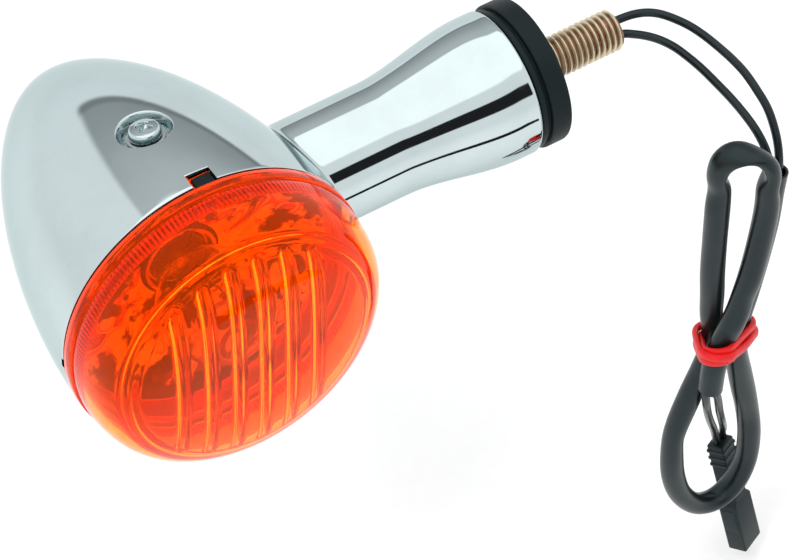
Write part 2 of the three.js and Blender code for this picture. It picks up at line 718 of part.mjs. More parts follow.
// ---- wiring -------------------------------------------------------------------------------
// Routes are points along each centre line, in the part's frame.
const STUD_MOUTH = STUD_LENGTH - GAP / 2;
const LIVE_LEAD = [
  [-93.4, 18.7, 0],
  [-93.4, 23.5, 0],
  [-91.5, 27.2, 0],
  [-86, 28.9, 0.4],
  [-79.8, 26, 0.9],
  [-75.6, 18.6, 1.2],
  [-74.4, 8.6, 1.3],
  [-72.4, 2.4, 1.2],
  [-68, 0.5, 1.2],
  [-60, 0.5, 1.2],
  [-40, 0.6, 1.2],
  [-10, 0.6, 1.2],
  [STUD_MOUTH, 0.9, 1.1],
];
const GROUND_LEAD = [
  [-93.4, 19.7, -14],
  [-91.5, 22, -14.2],
  [-86, 21.5, -12.5],
  [-78.5, 15.5, -8],
  [-74.6, 8, -4],
  [-72.2, 2.4, -2],
  [-67.5, -0.7, -1.5],
  [-60, -0.9, -1.3],
  [-40, -0.9, -1.3],
  [-10, -0.9, -1.3],
  [STUD_MOUTH, -1, -1.4],
];
const UPPER_WIRE = [
  [STUD_MOUTH + GAP, 0.9, 1.1],
  [25.3, 0.8, 1.1],
  [28.2, 0.3, 1.1],
  [30.9, -0.9, 1.1],
  [33, -3, 1.2],
  [34.8, -6.5, 1.4],
  [36.2, -10.3, 1.5],
  [37.2, -14.5, 1.4],
  [38, -18.8, 1],
  [38.8, -23.2, 0.2],
  [39.5, -27.3, -1.2],
  [39.9, -31.4, -3.4],
  [40.3, -34.9, -6.2],
  [40, -38.1, -9.4],
  [39.2, -41, -12.8],
  [38.2, -43, -16.9],
];
const LOWER_WIRE = [
  [STUD_MOUTH + GAP, -1, -1.4],
  [24.4, -1.4, -1.6],
  [26.3, -2.4, -2],
  [28.6, -4.2, -2.4],
  [30.6, -6.6, -2.8],
  [32.2, -9.9, -3.2],
  [33.2, -14, -3.6],
  [33.9, -18.6, -4],
  [34.3, -23.5, -4.5],
  [34.7, -28.4, -5.2],
  [35, -32.7, -6.2],
  [35.3, -36.5, -7.7],
  [35.6, -39.3, -9.8],
  [35.8, -41.6, -12.8],
  [35.7, -43.3, -16.9],
];
const SLEEVE = [
  [37, -43.5, -17.5],
  [36.1, -43.5, -23.3],
  [35.1, -43.5, -32.1],
  [32.9, -43.5, -43.1],
  [30.4, -43.5, -53.4],
  [27.2, -43.9, -64.1],
  [27.2, -43.6, -72.5],
  [28.9, -43.5, -83.1],
  [31.1, -43.5, -96.7],
  [32.3, -43.5, -109],
  [31.2, -43.5, -119],
  [27.8, -43.5, -125.4],
  [22.6, -43.5, -127.8],
  [17.2, -43.5, -125.9],
  [12.6, -43.5, -119.5],
  [10, -43.5, -110.2],
  [9.6, -43.5, -100.2],
  [11.2, -43.5, -90.6],
  [14.5, -43.5, -81.9],
  [18.1, -43.5, -74.3],
  [20.8, -43.6, -66.4],
  [20.6, -43.5, -54.7],
  [20.2, -43.5, -43],
  [20.6, -43.5, -30.7],
  [21.2, -43.5, -19],
  [21.5, -43.5, -8],
  [22.1, -44, -5.3],
  [23.7, -45.1, -3.3],
  [25.9, -46.7, -2.6],
  [28.1, -48.3, -3.3],
  [29.7, -49.5, -5.3],
  [30.3, -49.9, -8],
  [30.3, -49.9, -14.6],
  [29.9, -49.9, -21],
  [28.3, -49.9, -30.7],
  [26.1, -49.9, -40.7],
  [23.6, -49.9, -49.4],
  [20.9, -49.9, -55.8],
  [18.4, -49.9, -61],
  [16.7, -49.9, -66.5],
  [15.8, -49.9, -73.7],
];
const TAIL_LEFT = [
  [14.5, -49.9, -74.4],
  [15.3, -49.1, -79.8],
  [18, -46.1, -88.7],
  [21.8, -42, -98.8],
  [26.2, -37.2, -109.6],
  [29.5, -34.1, -120],
];
const TAIL_RIGHT = [
  [17.1, -49.9, -74.4],
  [18.5, -49.1, -80],
  [21.4, -46, -90],
  [25.4, -41.6, -101],
  [29.6, -36.4, -112],
  [31.9, -33.1, -120],
];
const routes = {
  live_lead: [LIVE_LEAD, WIRE_RADIUS - 0.1, 28, WIRE_SIDES, "insulation"],
  ground_lead: [GROUND_LEAD, WIRE_RADIUS - 0.1, 26, WIRE_SIDES, "insulation"],
  wire_upper: [UPPER_WIRE, WIRE_RADIUS, 22, WIRE_SIDES, "insulation"],
  wire_lower: [LOWER_WIRE, WIRE_RADIUS, 20, WIRE_SIDES, "insulation"],
  cord_sleeve: [SLEEVE, SLEEVE_RADIUS, 66, SLEEVE_SIDES, "vinyl"],
  tail_left: [TAIL_LEFT, WIRE_RADIUS, 12, WIRE_SIDES, "insulation"],
  tail_right: [TAIL_RIGHT, WIRE_RADIUS, 12, WIRE_SIDES, "insulation"],
};
for (const [name, [points, radius, steps, sides, finish]] of Object.entries(routes))
  add(part, name, tube(points, radius, steps, sides), finish);

// ---- rubber band round the three strands of the sleeve ------------------------------------
const BAND_CENTRE = [22.4, -46.7, -64];
const BAND_TURN = 30.4 * DEGREE;
const BAND_LONG = 10.2;
const BAND_SHORT = 6.9;

function tieBand() {
  const outline = new THREE.Shape();
  outline.absellipse(0, 0, BAND_LONG + BAND_THICKNESS, BAND_SHORT + BAND_THICKNESS, 0, 2 * Math.PI);
  const hole = new THREE.Path();
  hole.absellipse(0, 0, BAND_LONG, BAND_SHORT, 0, 2 * Math.PI);
  outline.holes.push(hole);
  const block = new THREE.ExtrudeGeometry(outline, {
    depth: BAND_HEIGHT,
    bevelEnabled: false,
    curveSegments: 32,
  });
  const centred = block.translate(0, 0, -BAND_HEIGHT / 2);
  return centred.rotateZ(BAND_TURN).translate(...BAND_CENTRE);
}

add(part, "tie_band", tieBand(), "red");

// ---- two-way connector --------------------------------------------------------------------
// Its own +Z runs from the wire end at the origin to the mating end.
const CONNECTOR_TOP = new THREE.Vector3(30.7, -33.6, -121);
const CONNECTOR_AXIS = new THREE.Vector3(0.059, -0.274, -0.96).normalize();
const CONNECTOR_FACE = new THREE.Vector3(-0.888, -0.46, 0);
const CONNECTOR_NECK = [5.4, 4.6, 19]; // wide, deep, long
const CONNECTOR_HEAD = [7.8, 5.2, 15];
const CAVITY = [2.7, 3.2, 11];
const CAVITY_PITCH = 3.6;
const TERMINAL = [1.9, 0.9, 8];

const connector = new THREE.Group();
const facing = CONNECTOR_FACE.clone().cross(CONNECTOR_AXIS).normalize().negate();
const widthways = facing.clone().cross(CONNECTOR_AXIS).normalize();
connector.applyMatrix4(
  new THREE.Matrix4().makeBasis(widthways, CONNECTOR_AXIS.clone().cross(widthways), CONNECTOR_AXIS),
);
connector.position.copy(CONNECTOR_TOP);
part.add(connector);

function block([width, depth, length], from, x = 0) {
  return box([x - width / 2, -depth / 2, from], [x + width / 2, depth / 2, from + length]);
}

function connectorHousing() {
  const total = CONNECTOR_NECK[2] + CONNECTOR_HEAD[2];
  const body = join(block(CONNECTOR_NECK, 0), block(CONNECTOR_HEAD, CONNECTOR_NECK[2]));
  const cavities = [-1, 1].map((side) =>
    block([CAVITY[0], CAVITY[1], CAVITY[2] + 1], total - CAVITY[2], (side * CAVITY_PITCH) / 2),
  );
  const latch = box(
    [-1.2, CONNECTOR_HEAD[1] / 2 - GAP, total - 4],
    [1.2, CONNECTOR_HEAD[1] / 2 + 0.9, total - 1],
  );
  return cut(join(body, latch), ...cavities);
}

add(connector, "connector_housing", connectorHousing(), "nylon");
const TERMINAL_BACK = CONNECTOR_NECK[2] + CONNECTOR_HEAD[2] - CAVITY[2] + GAP;
["left", "right"].forEach((place, i) => {
  const x = (i - 0.5) * CAVITY_PITCH;
  add(connector, "terminal_" + place, block(TERMINAL, TERMINAL_BACK, x), "brass");
});

export default part;
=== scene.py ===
"""Turn signal indicator of a motorcycle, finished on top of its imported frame.

Shapes are worked out in millimetres in the part's frame: the stud runs along +X from the
mounting face, the lens faces -Y and +Z is up. put_mesh() turns them into metres."""

import json
import math

import bmesh
import bpy
import numpy as np
from bpy.props import FloatProperty, FloatVectorProperty, IntProperty, PointerProperty
from mathutils import Matrix, Vector

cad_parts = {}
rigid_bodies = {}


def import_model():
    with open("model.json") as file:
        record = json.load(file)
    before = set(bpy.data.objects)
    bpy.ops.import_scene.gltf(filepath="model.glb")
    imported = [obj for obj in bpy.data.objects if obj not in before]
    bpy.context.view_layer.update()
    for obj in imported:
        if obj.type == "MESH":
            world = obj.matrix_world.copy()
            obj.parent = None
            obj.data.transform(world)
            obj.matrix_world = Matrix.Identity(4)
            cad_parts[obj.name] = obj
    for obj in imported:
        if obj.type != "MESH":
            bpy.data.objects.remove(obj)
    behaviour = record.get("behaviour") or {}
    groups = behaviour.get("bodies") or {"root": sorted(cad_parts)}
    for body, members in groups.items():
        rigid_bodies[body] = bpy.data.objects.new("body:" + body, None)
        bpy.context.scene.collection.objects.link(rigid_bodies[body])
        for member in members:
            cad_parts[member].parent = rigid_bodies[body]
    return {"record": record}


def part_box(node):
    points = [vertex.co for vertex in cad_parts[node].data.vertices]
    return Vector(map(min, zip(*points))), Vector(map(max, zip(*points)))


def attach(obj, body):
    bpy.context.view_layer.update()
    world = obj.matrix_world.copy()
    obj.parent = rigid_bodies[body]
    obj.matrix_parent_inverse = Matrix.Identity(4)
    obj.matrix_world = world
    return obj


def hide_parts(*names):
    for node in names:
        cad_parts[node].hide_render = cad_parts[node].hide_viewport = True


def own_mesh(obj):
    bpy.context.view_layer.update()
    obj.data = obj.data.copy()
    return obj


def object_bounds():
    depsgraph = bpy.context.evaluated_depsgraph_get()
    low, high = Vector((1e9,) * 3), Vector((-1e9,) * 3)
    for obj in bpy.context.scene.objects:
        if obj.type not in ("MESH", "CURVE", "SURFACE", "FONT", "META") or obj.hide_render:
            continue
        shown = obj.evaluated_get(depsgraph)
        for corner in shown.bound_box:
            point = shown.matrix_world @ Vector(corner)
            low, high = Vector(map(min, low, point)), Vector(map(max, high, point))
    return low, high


bl_info = {
    "name": "Turn Signal Indicator",
    "version": (1, 0, 0),
    "blender": (4, 5, 0),
    "location": "3D View > Sidebar > Indicator",
    "description": "Builds a bullet-shaped motorcycle turn signal on its packed frame",
    "category": "Add Mesh",
}

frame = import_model()
FRAME_BOX = [list(corner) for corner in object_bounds()]
MM = 0.001
TURN = 2 * np.pi


def node_box(name):
    """Lowest and highest corner of a frame node, in millimetres."""
    low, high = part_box(name)
    return np.array(low) / MM, np.array(high) / MM


HOUSING_LOW, HOUSING_HIGH = node_box("housing")
LENS_LOW = node_box("lens")[0]
LAMP = np.array([(HOUSING_LOW[0] + HOUSING_HIGH[0]) / 2, HOUSING_LOW[1], 0])
STUD_END = node_box("stud")[1][0]
BASE_BACK = node_box("base_rubber")[0][0]

# ---- shapes shared by several pieces --------------------------------------------------------


def superellipse(along, length, radius, powers):
    """Radius of a turned body at a distance along its axis, where
    (along / length)^powers[0] + (radius / largest radius)^powers[1] = 1."""
    share = np.clip(1 - np.clip(along / length, 0, 1) ** powers[0], 0, None)
    return radius * share ** (1 / powers[1])


def smoothstep(value, start, stop):
    """0 before start and 1 after stop, with 3t^2 - 2t^3 between them."""
    t = np.clip((value - start) / (stop - start), 0, 1)
    return t * t * (3 - 2 * t)


def smaller(a, b, blend):
    """The smaller of two heights, rounded where they cross over a width of blend."""
    h = np.clip(0.5 + 0.5 * (b - a) / blend, 0, 1)
    return b + (a - b) * h - blend * h * (1 - h)


def quadratic(start, control, stop, t):
    """The curve (1 - t)^2 start + 2 t (1 - t) control + t^2 stop."""
    return (1 - t) ** 2 * start + 2 * t * (1 - t) * control + t**2 * stop


def softened(corners, reach, steps=5):
    """Each corner of a closed outline becomes a quadratic curve that starts and ends reach
    from the corner, or 0.45 of the side where that is shorter."""
    corners = np.asarray(corners, float)
    back = np.roll(corners, 1, 0) - corners
    ahead = np.roll(corners, -1, 0) - corners
    back_length = np.linalg.norm(back, axis=1, keepdims=True)
    ahead_length = np.linalg.norm(ahead, axis=1, keepdims=True)
    shorter = np.minimum(back_length, ahead_length)
    reach = np.minimum(np.reshape(reach, (-1, 1)), 0.45 * shorter)
    start = corners + back / back_length * reach
    stop = corners + ahead / ahead_length * reach
    t = np.linspace(0, 1, steps + 1)[None, :, None]
    return quadratic(start[:, None], corners[:, None], stop[:, None], t).reshape(-1, 2)


def even_angles(count):
    """Angles at even steps round a full turn, as one row."""
    return np.linspace(0, TURN, count, endpoint=False)[None, :]


def on_rings(radius, along, angle, axis="y"):
    """The point at angle a is radius * (sin a, cos a) across and along the axis. Rows are
    steps along the axis and columns are angles."""
    across, up = radius * np.sin(angle), radius * np.cos(angle)
    along = np.broadcast_to(along, across.shape)
    order = {"y": (across, along, up), "x": (along, across, up), "z": (across, up, along)}
    return np.stack(order[axis], -1)


def turned(profile, sides, axis="y"):
    """A profile of [radius, along] turned about the axis. Rows are profile points."""
    radius, along = np.asarray(profile, float).T[:, :, None]
    return on_rings(radius, along, even_angles(sides), axis)


def around_lamp(points):
    """From the lamp's own place, with its mouth at y = 0, to the part's frame."""
    return points + LAMP


def curve_through(points, spacing):
    """A centripetal Catmull-Rom curve: between two route points it is the cubic whose end
    slopes come from their neighbours at spans of the square root of the distances. The
    result is resampled at even steps of its length."""
    points = np.asarray(points, float)
    padded = np.vstack([2 * points[0] - points[1], points, 2 * points[-1] - points[-2]])
    span = np.sqrt(np.linalg.norm(np.diff(padded, axis=0), axis=1))[:, None]
    p0, p1, p2, p3 = padded[:-3], padded[1:-2], padded[2:-1], padded[3:]
    s0, s1, s2 = span[:-2], span[1:-1], span[2:]
    leave = ((p1 - p0) / s0 - (p2 - p0) / (s0 + s1) + (p2 - p1) / s1) * s1
    arrive = ((p2 - p1) / s1 - (p3 - p1) / (s1 + s2) + (p3 - p2) / s2) * s1
    t = np.linspace(0, 1, 24, endpoint=False)[None, :, None]
    cubic = (
        (2 * t**3 - 3 * t**2 + 1) * p1[:, None]
        + (t**3 - 2 * t**2 + t) * leave[:, None]
        + (3 * t**2 - 2 * t**3) * p2[:, None]
        + (t**3 - t**2) * arrive[:, None]
    )
    dense = np.vstack([cubic.reshape(-1, 3), points[-1]])
    return resampled(dense, spacing)


def length_along(points):
    """How far each point is from the first one, measured along the line."""
    steps = np.linalg.norm(np.diff(points, axis=0), axis=1)
    return np.concatenate([[0], np.cumsum(steps)])


def resampled(dense, spacing):
    """Points at even steps of length along a dense line."""
    length = length_along(dense)
    steps = np.linspace(0, length[-1], max(2, int(length[-1] / spacing)) + 1)
    return np.stack([np.interp(steps, length, dense[:, k]) for k in range(3)], -1)


def frames_along(path, across):
    """Unit vectors along a path: its tangent, the direction square to it and to across,
    and the third one."""
    tangent = np.gradient(path, axis=0)
    tangent /= np.linalg.norm(tangent, axis=1, keepdims=True)
    first = np.cross(across, tangent)
    first /= np.linalg.norm(first, axis=1, keepdims=True)
    return tangent, first, np.cross(tangent, first)


def swept(path, across, half_first, half_second, sides, power=2.0):
    """A section carried along a path: at angle a it stands off the path by half_first times
    the cosine and half_second times the sine, each raised to 2 / power."""
    _, first, second = frames_along(path, across)
    angle = even_angles(sides)[..., None]
    cos = np.sign(np.cos(angle)) * np.abs(np.cos(angle)) ** (2 / power)
    sin = np.sign(np.sin(angle)) * np.abs(np.sin(angle)) ** (2 / power)
    half_first = np.broadcast_to(half_first, len(path))[:, None, None]
    half_second = np.broadcast_to(half_second, len(path))[:, None, None]
    offset = half_first * cos * first[:, None] + half_second * sin * second[:, None]
    return path[:, None] + offset


def closed_ends(rows):
    """Rows of a tube with both ends drawn in to their middle points."""
    return np.concatenate([rows[:1] * 0 + rows[0].mean(0), rows, rows[-1:] * 0 + rows[-1].mean(0)])


def corner_outline(offset, radius, per_corner):
    """A rounded rectangle: a quarter circle about each corner of a smaller rectangle, whose
    half sides are offset."""
    quarter = np.linspace(0, np.pi / 2, per_corner)
    angle = np.concatenate([quarter + corner * np.pi / 2 for corner in range(4)])
    sign = np.repeat([[1, 1], [-1, 1], [-1, -1], [1, -1]], per_corner, axis=0)
    return sign * offset + radius * np.stack([np.cos(angle), np.sin(angle)], -1)


def stacked(outlines, heights):
    """Rows from flat outlines, each at its own height, closed to the middle at both ends."""
    outlines = np.array(outlines)
    heights = np.reshape(heights, (-1, 1, 1)) + np.zeros((*outlines.shape[:2], 1))
    return closed_ends(np.concatenate([outlines, heights], -1))


def round_box(low, high, edge, sides=32):
    """A box with rounded edges: rounded rectangles along z, drawn in by a quarter circle of
    radius edge at both ends."""
    low, high = np.asarray(low, float), np.asarray(high, float)
    middle, half = (low + high) / 2, (high - low) / 2
    edge = min(edge, 0.98 * half.min())
    bend = np.linspace(0, np.pi / 2, 5)
    radius = edge * np.sin(bend)
    depth = edge * (1 - np.cos(bend))
    outlines = [
        middle[:2] + corner_outline(half[:2] - edge, reach, sides // 4)
        for reach in (*radius, *radius[::-1])
    ]
    return stacked(outlines, [*(low[2] + depth), *(high[2] - depth[::-1])])


def grid_faces(rows, columns, start, close_rows=False):
    """Four-cornered faces of a grid whose columns close on themselves."""
    index = np.arange(rows * columns).reshape(rows, columns) + start
    beside = np.roll(index, -1, 1)
    if close_rows:
        below, below_beside = np.roll(index, -1, 0), np.roll(beside, -1, 0)
        return np.stack([index, beside, below_beside, below], -1).reshape(-1, 4)
    return np.stack([index[:-1], beside[:-1], beside[1:], index[1:]], -1).reshape(-1, 4)


def put_mesh(name, surfaces, sharp=35):
    """One object made of closed grids. Each surface is an array of rows, columns and xyz in
    millimetres, or a pair of it and True where its rows close on themselves too."""
    points, faces, start = [], [], 0
    for surface in surfaces:
        grid, close_rows = surface if isinstance(surface, tuple) else (surface, False)
        rows, columns = grid.shape[:2]
        points.append(grid.reshape(-1, 3))
        faces.append(grid_faces(rows, columns, start, close_rows))
        start += rows * columns
    points, faces = np.vstack(points) * MM, np.vstack(faces)
    mesh = bpy.data.meshes.new(name)
    mesh.vertices.add(len(points))
    mesh.vertices.foreach_set("co", points.astype(np.float32).ravel())
    mesh.loops.add(faces.size)
    mesh.loops.foreach_set("vertex_index", faces.astype(np.int32).ravel())
    mesh.polygons.add(len(faces))
    mesh.polygons.foreach_set("loop_start", np.arange(0, faces.size, 4, dtype=np.int32))
    mesh.update(calc_edges=True)
    shell = bmesh.new()
    shell.from_mesh(mesh)
    bmesh.ops.remove_doubles(shell, verts=shell.verts, dist=2e-6)
    bmesh.ops.dissolve_degenerate(shell, edges=shell.edges, dist=1e-7)
    bmesh.ops.recalc_face_normals(shell, faces=shell.faces)
    if shell.calc_volume(signed=True) < 0:
        bmesh.ops.reverse_faces(shell, faces=shell.faces)
    shell.to_mesh(mesh)
    shell.free()
    mesh.polygons.foreach_set("use_smooth", np.ones(len(mesh.polygons), bool))
    mesh.set_sharp_from_angle(angle=math.radians(sharp))
    piece = bpy.data.objects.new(name, mesh)
    bpy.context.scene.collection.objects.link(piece)
    return piece


def finished(piece, body, slot, *nodes):
    """Gives a piece the finish of its slot, its body and the frame nodes it stands for."""
    piece.data.materials.clear()
    piece.data.materials.append(MATERIALS[slot])
    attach(piece, body)
    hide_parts(*nodes)
    return piece


# ---- finishes -------------------------------------------------------------------------------


# Scales of the shared patterns, heights of the bumps in metres, and colours: dust and bloom
# that lie on a surface, and the painted shade over the lens's teeth.
HAIRLINE_SCALE, RIPPLE_SCALE, SPECK_SCALE = 1900.0, 26.0, 2400.0
RIPPLE_HEIGHT, PEBBLE_HEIGHT, BLOOM_HEIGHT = 0.0004, 0.00006, 0.0001
DUST, BLOOM, STRIPE_PAINTED_SHADE = (0.62, 0.64, 0.64), (0.78, 0.66, 0.58), (0.62, 0.2, 0.03)
CLOUD_GLOSS = 0.08
# The lens's upright lines of painted shade over its teeth: how many, and how far ahead of the
# rim they end and start.
STRIPES = 200.0
STRIPES_FRONT, STRIPES_BACK = (6.7, 6.3), (4.0, 3.7)


class Nodes:
    """Adds nodes to a tree. Inputs are given by name or number, as a value or a socket."""

    def __init__(self, tree):
        self.tree = tree
        tree.nodes.clear()

    def feed(self, socket, value):
        """Links the input to another socket, or sets its own value."""
        if isinstance(value, bpy.types.NodeSocket):
            self.tree.links.new(value, socket)
        else:
            socket.default_value = value

    def add(self, kind, inputs=None, **settings):
        """One node with its settings and inputs."""
        made = self.tree.nodes.new(kind)
        for key, value in settings.items():
            setattr(made, key, value)
        for key, value in (inputs or {}).items():
            self.feed(made.inputs[key], value)
        return made

    def math(self, operation, a, b=0.0):
        """The result of one operation on one or two values."""
        made = self.add("ShaderNodeMath", {0: a, 1: b}, operation=operation)
        return made.outputs[0]

    def plus(self, a, b):
        return self.math("ADD", a, b)

    def times(self, a, b):
        return self.math("MULTIPLY", a, b)

    def mix(self, factor, a, b):
        """Colour a where factor is 0 and colour b where it is 1."""
        return self.add("ShaderNodeMix", {0: factor, 6: a, 7: b}, data_type="RGBA").outputs[2]

    def ease(self, value, start, stop, low=0.0, high=1.0):
        """Low before start and high after stop, with a smooth step between them."""
        inputs = {0: value, 1: start, 2: stop, 3: low, 4: high}
        return self.add("ShaderNodeMapRange", inputs, interpolation_type="SMOOTHSTEP").outputs[0]

    def noise(self, place, scale, detail=2.0, **more):
        """The value of a noise texture, from 0 to 1."""
        inputs = {"Vector": place, "Scale": scale, "Detail": detail, **more}
        return self.add("ShaderNodeTexNoise", inputs).outputs["Fac"]

    def axes(self, vector):
        """A vector's X, Y and Z."""
        return self.add("ShaderNodeSeparateXYZ", {0: vector}).outputs

    def bumped(self, height, strength, distance):
        """The normal of a surface raised by height times distance, in metres."""
        inputs = {"Strength": strength, "Distance": distance, "Height": height}
        return self.add("ShaderNodeBump", inputs).outputs["Normal"]


def linear(colour):
    """A display colour as the linear one that nodes take."""
    colour = np.asarray(colour[:3], float)
    low, high = colour / 12.92, ((colour + 0.055) / 1.055) ** 2.4
    return (*np.where(colour <= 0.04045, low, high).tolist(), 1.0)


def node_group(name, inputs, outputs):
    """An empty shader node group with the named inputs, each with its default or None where
    it has none, and the named outputs."""
    made = bpy.data.node_groups.new(name, "ShaderNodeTree")
    for socket, value in inputs.items():
        kind = "NodeSocketVector" if value is None else "NodeSocketFloat"
        added = made.interface.new_socket(name=socket, in_out="INPUT", socket_type=kind)
        if value is not None:
            added.default_value = value
    for socket in outputs:
        made.interface.new_socket(name=socket, in_out="OUTPUT", socket_type="NodeSocketFloat")
    nodes = Nodes(made)
    return nodes, nodes.add("NodeGroupInput").outputs, nodes.add("NodeGroupOutput").inputs


def polish_group():
    """Handled metal: broad smudges and fine hairlines that change gloss, and a slow ripple."""
    inputs = {"Vector": None, "Smudge Scale": 60.0, "Gloss": 0.05, "Wear": 0.05}
    outputs = ["Roughness", "Shade", "Height"]
    nodes, given, result = node_group("Handled metal", inputs, outputs)
    place, wear = given["Vector"], given["Wear"]
    smudge = nodes.noise(place, given["Smudge Scale"], 5.0, Roughness=0.62)
    hairlines = nodes.noise(place, HAIRLINE_SCALE)
    ripple = nodes.noise(place, RIPPLE_SCALE, 1.0)
    grain = nodes.times(nodes.ease(smudge, 0.45, 0.72), wear)
    fine = nodes.times(hairlines, nodes.times(wear, 0.35))
    nodes.feed(result["Roughness"], nodes.plus(given["Gloss"], nodes.plus(grain, fine)))
    nodes.feed(result["Shade"], smudge)
    nodes.feed(result["Height"], ripple)
    return nodes.tree


def skin_group():
    """Moulded plastic or rubber: a fine pebble from cells and noise, cloudy shade and dust."""
    inputs = {"Vector": None, "Pebble Scale": 1600.0, "Cloud Scale": 90.0}
    outputs = ["Height", "Cloud", "Dust"]
    nodes, given, result = node_group("Moulded skin", inputs, outputs)
    place = given["Vector"]
    pebbles = {"Vector": place, "Scale": given["Pebble Scale"]}
    cells = nodes.add("ShaderNodeTexVoronoi", pebbles).outputs["Distance"]
    cloud = nodes.noise(place, given["Cloud Scale"], 6.0, Roughness=0.6)
    specks = nodes.noise(place, SPECK_SCALE, 1.0)
    dust = nodes.times(nodes.ease(specks, 0.62, 0.78), nodes.ease(cloud, 0.4, 0.7))
    nodes.feed(result["Height"], nodes.plus(cells, nodes.times(cloud, 0.6)))
    nodes.feed(result["Cloud"], cloud)
    nodes.feed(result["Dust"], dust)
    return nodes.tree


GROUPS = {}
MATERIALS = {}


def group_node(nodes, build, inputs):
    """A node that holds the shared group, which is made the first time it is asked for."""
    if build.__name__ not in GROUPS:
        GROUPS[build.__name__] = build()
    tree = GROUPS[build.__name__]
    return nodes.add("ShaderNodeGroup", inputs, node_tree=tree).outputs


def new_material(name):
    """An empty material, its nodes and the object coordinates that its patterns read."""
    made = bpy.data.materials.new(name)
    made.use_nodes = True
    nodes = Nodes(made.node_tree)
    place = nodes.add("ShaderNodeTexCoord").outputs["Object"]
    return made, nodes, place


def close_material(nodes, sockets):
    """Adds the Principled shader and the material's output."""
    shader = nodes.add("ShaderNodeBsdfPrincipled", sockets)
    nodes.add("ShaderNodeOutputMaterial", {"Surface": shader.outputs[0]})


def metal(name, shades, gloss, wear, ripple=0.0, smudge=60.0, edge=(1, 1, 1), patch=(0.35, 0.7)):
    """Plated or bare metal: two shades mixed by smudges, with uneven gloss. On the reflector the
    dark shade's patches are painted reflections.
    """
    made, nodes, place = new_material(name)
    inputs = {"Vector": place, "Smudge Scale": smudge, "Gloss": gloss, "Wear": wear}
    polish = group_node(nodes, polish_group, inputs)
    shade = nodes.ease(polish["Shade"], *patch)
    sockets = {
        "Base Color": nodes.mix(shade, *map(linear, shades)),
        "Metallic": 1.0,
        "Roughness": polish["Roughness"],
        "Specular Tint": (*edge, 1),
    }
    if ripple:
        sockets["Normal"] = nodes.bumped(polish["Height"], ripple, RIPPLE_HEIGHT)
    close_material(nodes, sockets)
    return made


def moulded(name, shades, gloss, pebble, scale=1600.0, dust=0.15, shine=0.5):
    """Plastic or rubber from a mould: cloudy colour, fine pebble and a little pale dust."""
    made, nodes, place = new_material(name)
    skin = group_node(nodes, skin_group, {"Vector": place, "Pebble Scale": scale})
    clouded = nodes.mix(nodes.ease(skin["Cloud"], 0.3, 0.75), *map(linear, shades))
    sockets = {
        "Base Color": nodes.mix(nodes.times(skin["Dust"], dust), clouded, linear(DUST)),
        "Roughness": nodes.plus(nodes.times(skin["Cloud"], 2 * CLOUD_GLOSS), gloss - CLOUD_GLOSS),
        "Specular IOR Level": shine,
        "Specular Tint": (0.75, 0.95, 1.0, 1),
        "Normal": nodes.bumped(skin["Height"], pebble, PEBBLE_HEIGHT),
    }
    close_material(nodes, sockets)
    return made


def painted_shade_lines(nodes, place):
    """A row of upright lines of painted shade over the lens's teeth, just inside the rim: 1 where
    the sine of the angle times their number is high, between two heights over the rim."""
    parts = nodes.axes(place)
    across = nodes.math("SUBTRACT", parts["X"], float(LAMP[0]) * MM)
    turn = nodes.math("ARCTAN2", across, parts["Z"])
    shade_lines = nodes.ease(nodes.math("SINE", nodes.times(turn, STRIPES)), -0.3, 0.5)
    starts = [(LAMP[1] - ahead) * MM for ahead in STRIPES_FRONT]
    stops = [(LAMP[1] - ahead) * MM for ahead in STRIPES_BACK]
    row = nodes.times(nodes.ease(parts["Y"], *starts), nodes.ease(parts["Y"], *stops, 1.0, 0.0))
    return nodes.times(row, shade_lines)


def amber(name, colour):
    """Clear amber moulding: light passes through it, with faint flow lines in its colour, upright
    lines of painted shade over its teeth and a faint painted glow.
    """
    made, nodes, place = new_material(name)
    flow = nodes.noise(place, 70.0, 4.0, Distortion=1.2)
    deep = [colour[0], colour[1] * 0.85, colour[2] * 0.6]
    tint = nodes.mix(nodes.ease(flow, 0.35, 0.7), linear(colour), linear(deep))
    # Darker upright lines painted over the serration teeth stand in for their shade.
    shade_lines = nodes.times(painted_shade_lines(nodes, place), 0.9)
    sockets = {
        "Base Color": nodes.mix(shade_lines, tint, linear(STRIPE_PAINTED_SHADE)),
        "Roughness": nodes.times(flow, 0.04),
        "IOR": 1.49,
        "Transmission Weight": 0.96,
        "Specular IOR Level": 0.04,
        "Specular Tint": (0.6, 0.12, 0.03, 1),
        # Painted glow: the lens gives off a faint amber light of its own, though the bulb is not
        # lit.
        "Emission Color": (1.0, 0.08, 0.003, 1),
        "Emission Strength": 0.1,
    }
    close_material(nodes, sockets)
    return made


def clear_glass(name):
    """Thin blown glass with a faint haze."""
    made, nodes, place = new_material(name)
    haze = nodes.noise(place, 160.0, 3.0)
    sockets = {
        "Base Color": nodes.mix(haze, (0.97, 0.99, 0.98, 1), (0.9, 0.95, 0.94, 1)),
        "Roughness": nodes.times(haze, 0.03),
        "IOR": 1.35,
        "Transmission Weight": 1.0,
    }
    close_material(nodes, sockets)
    return made


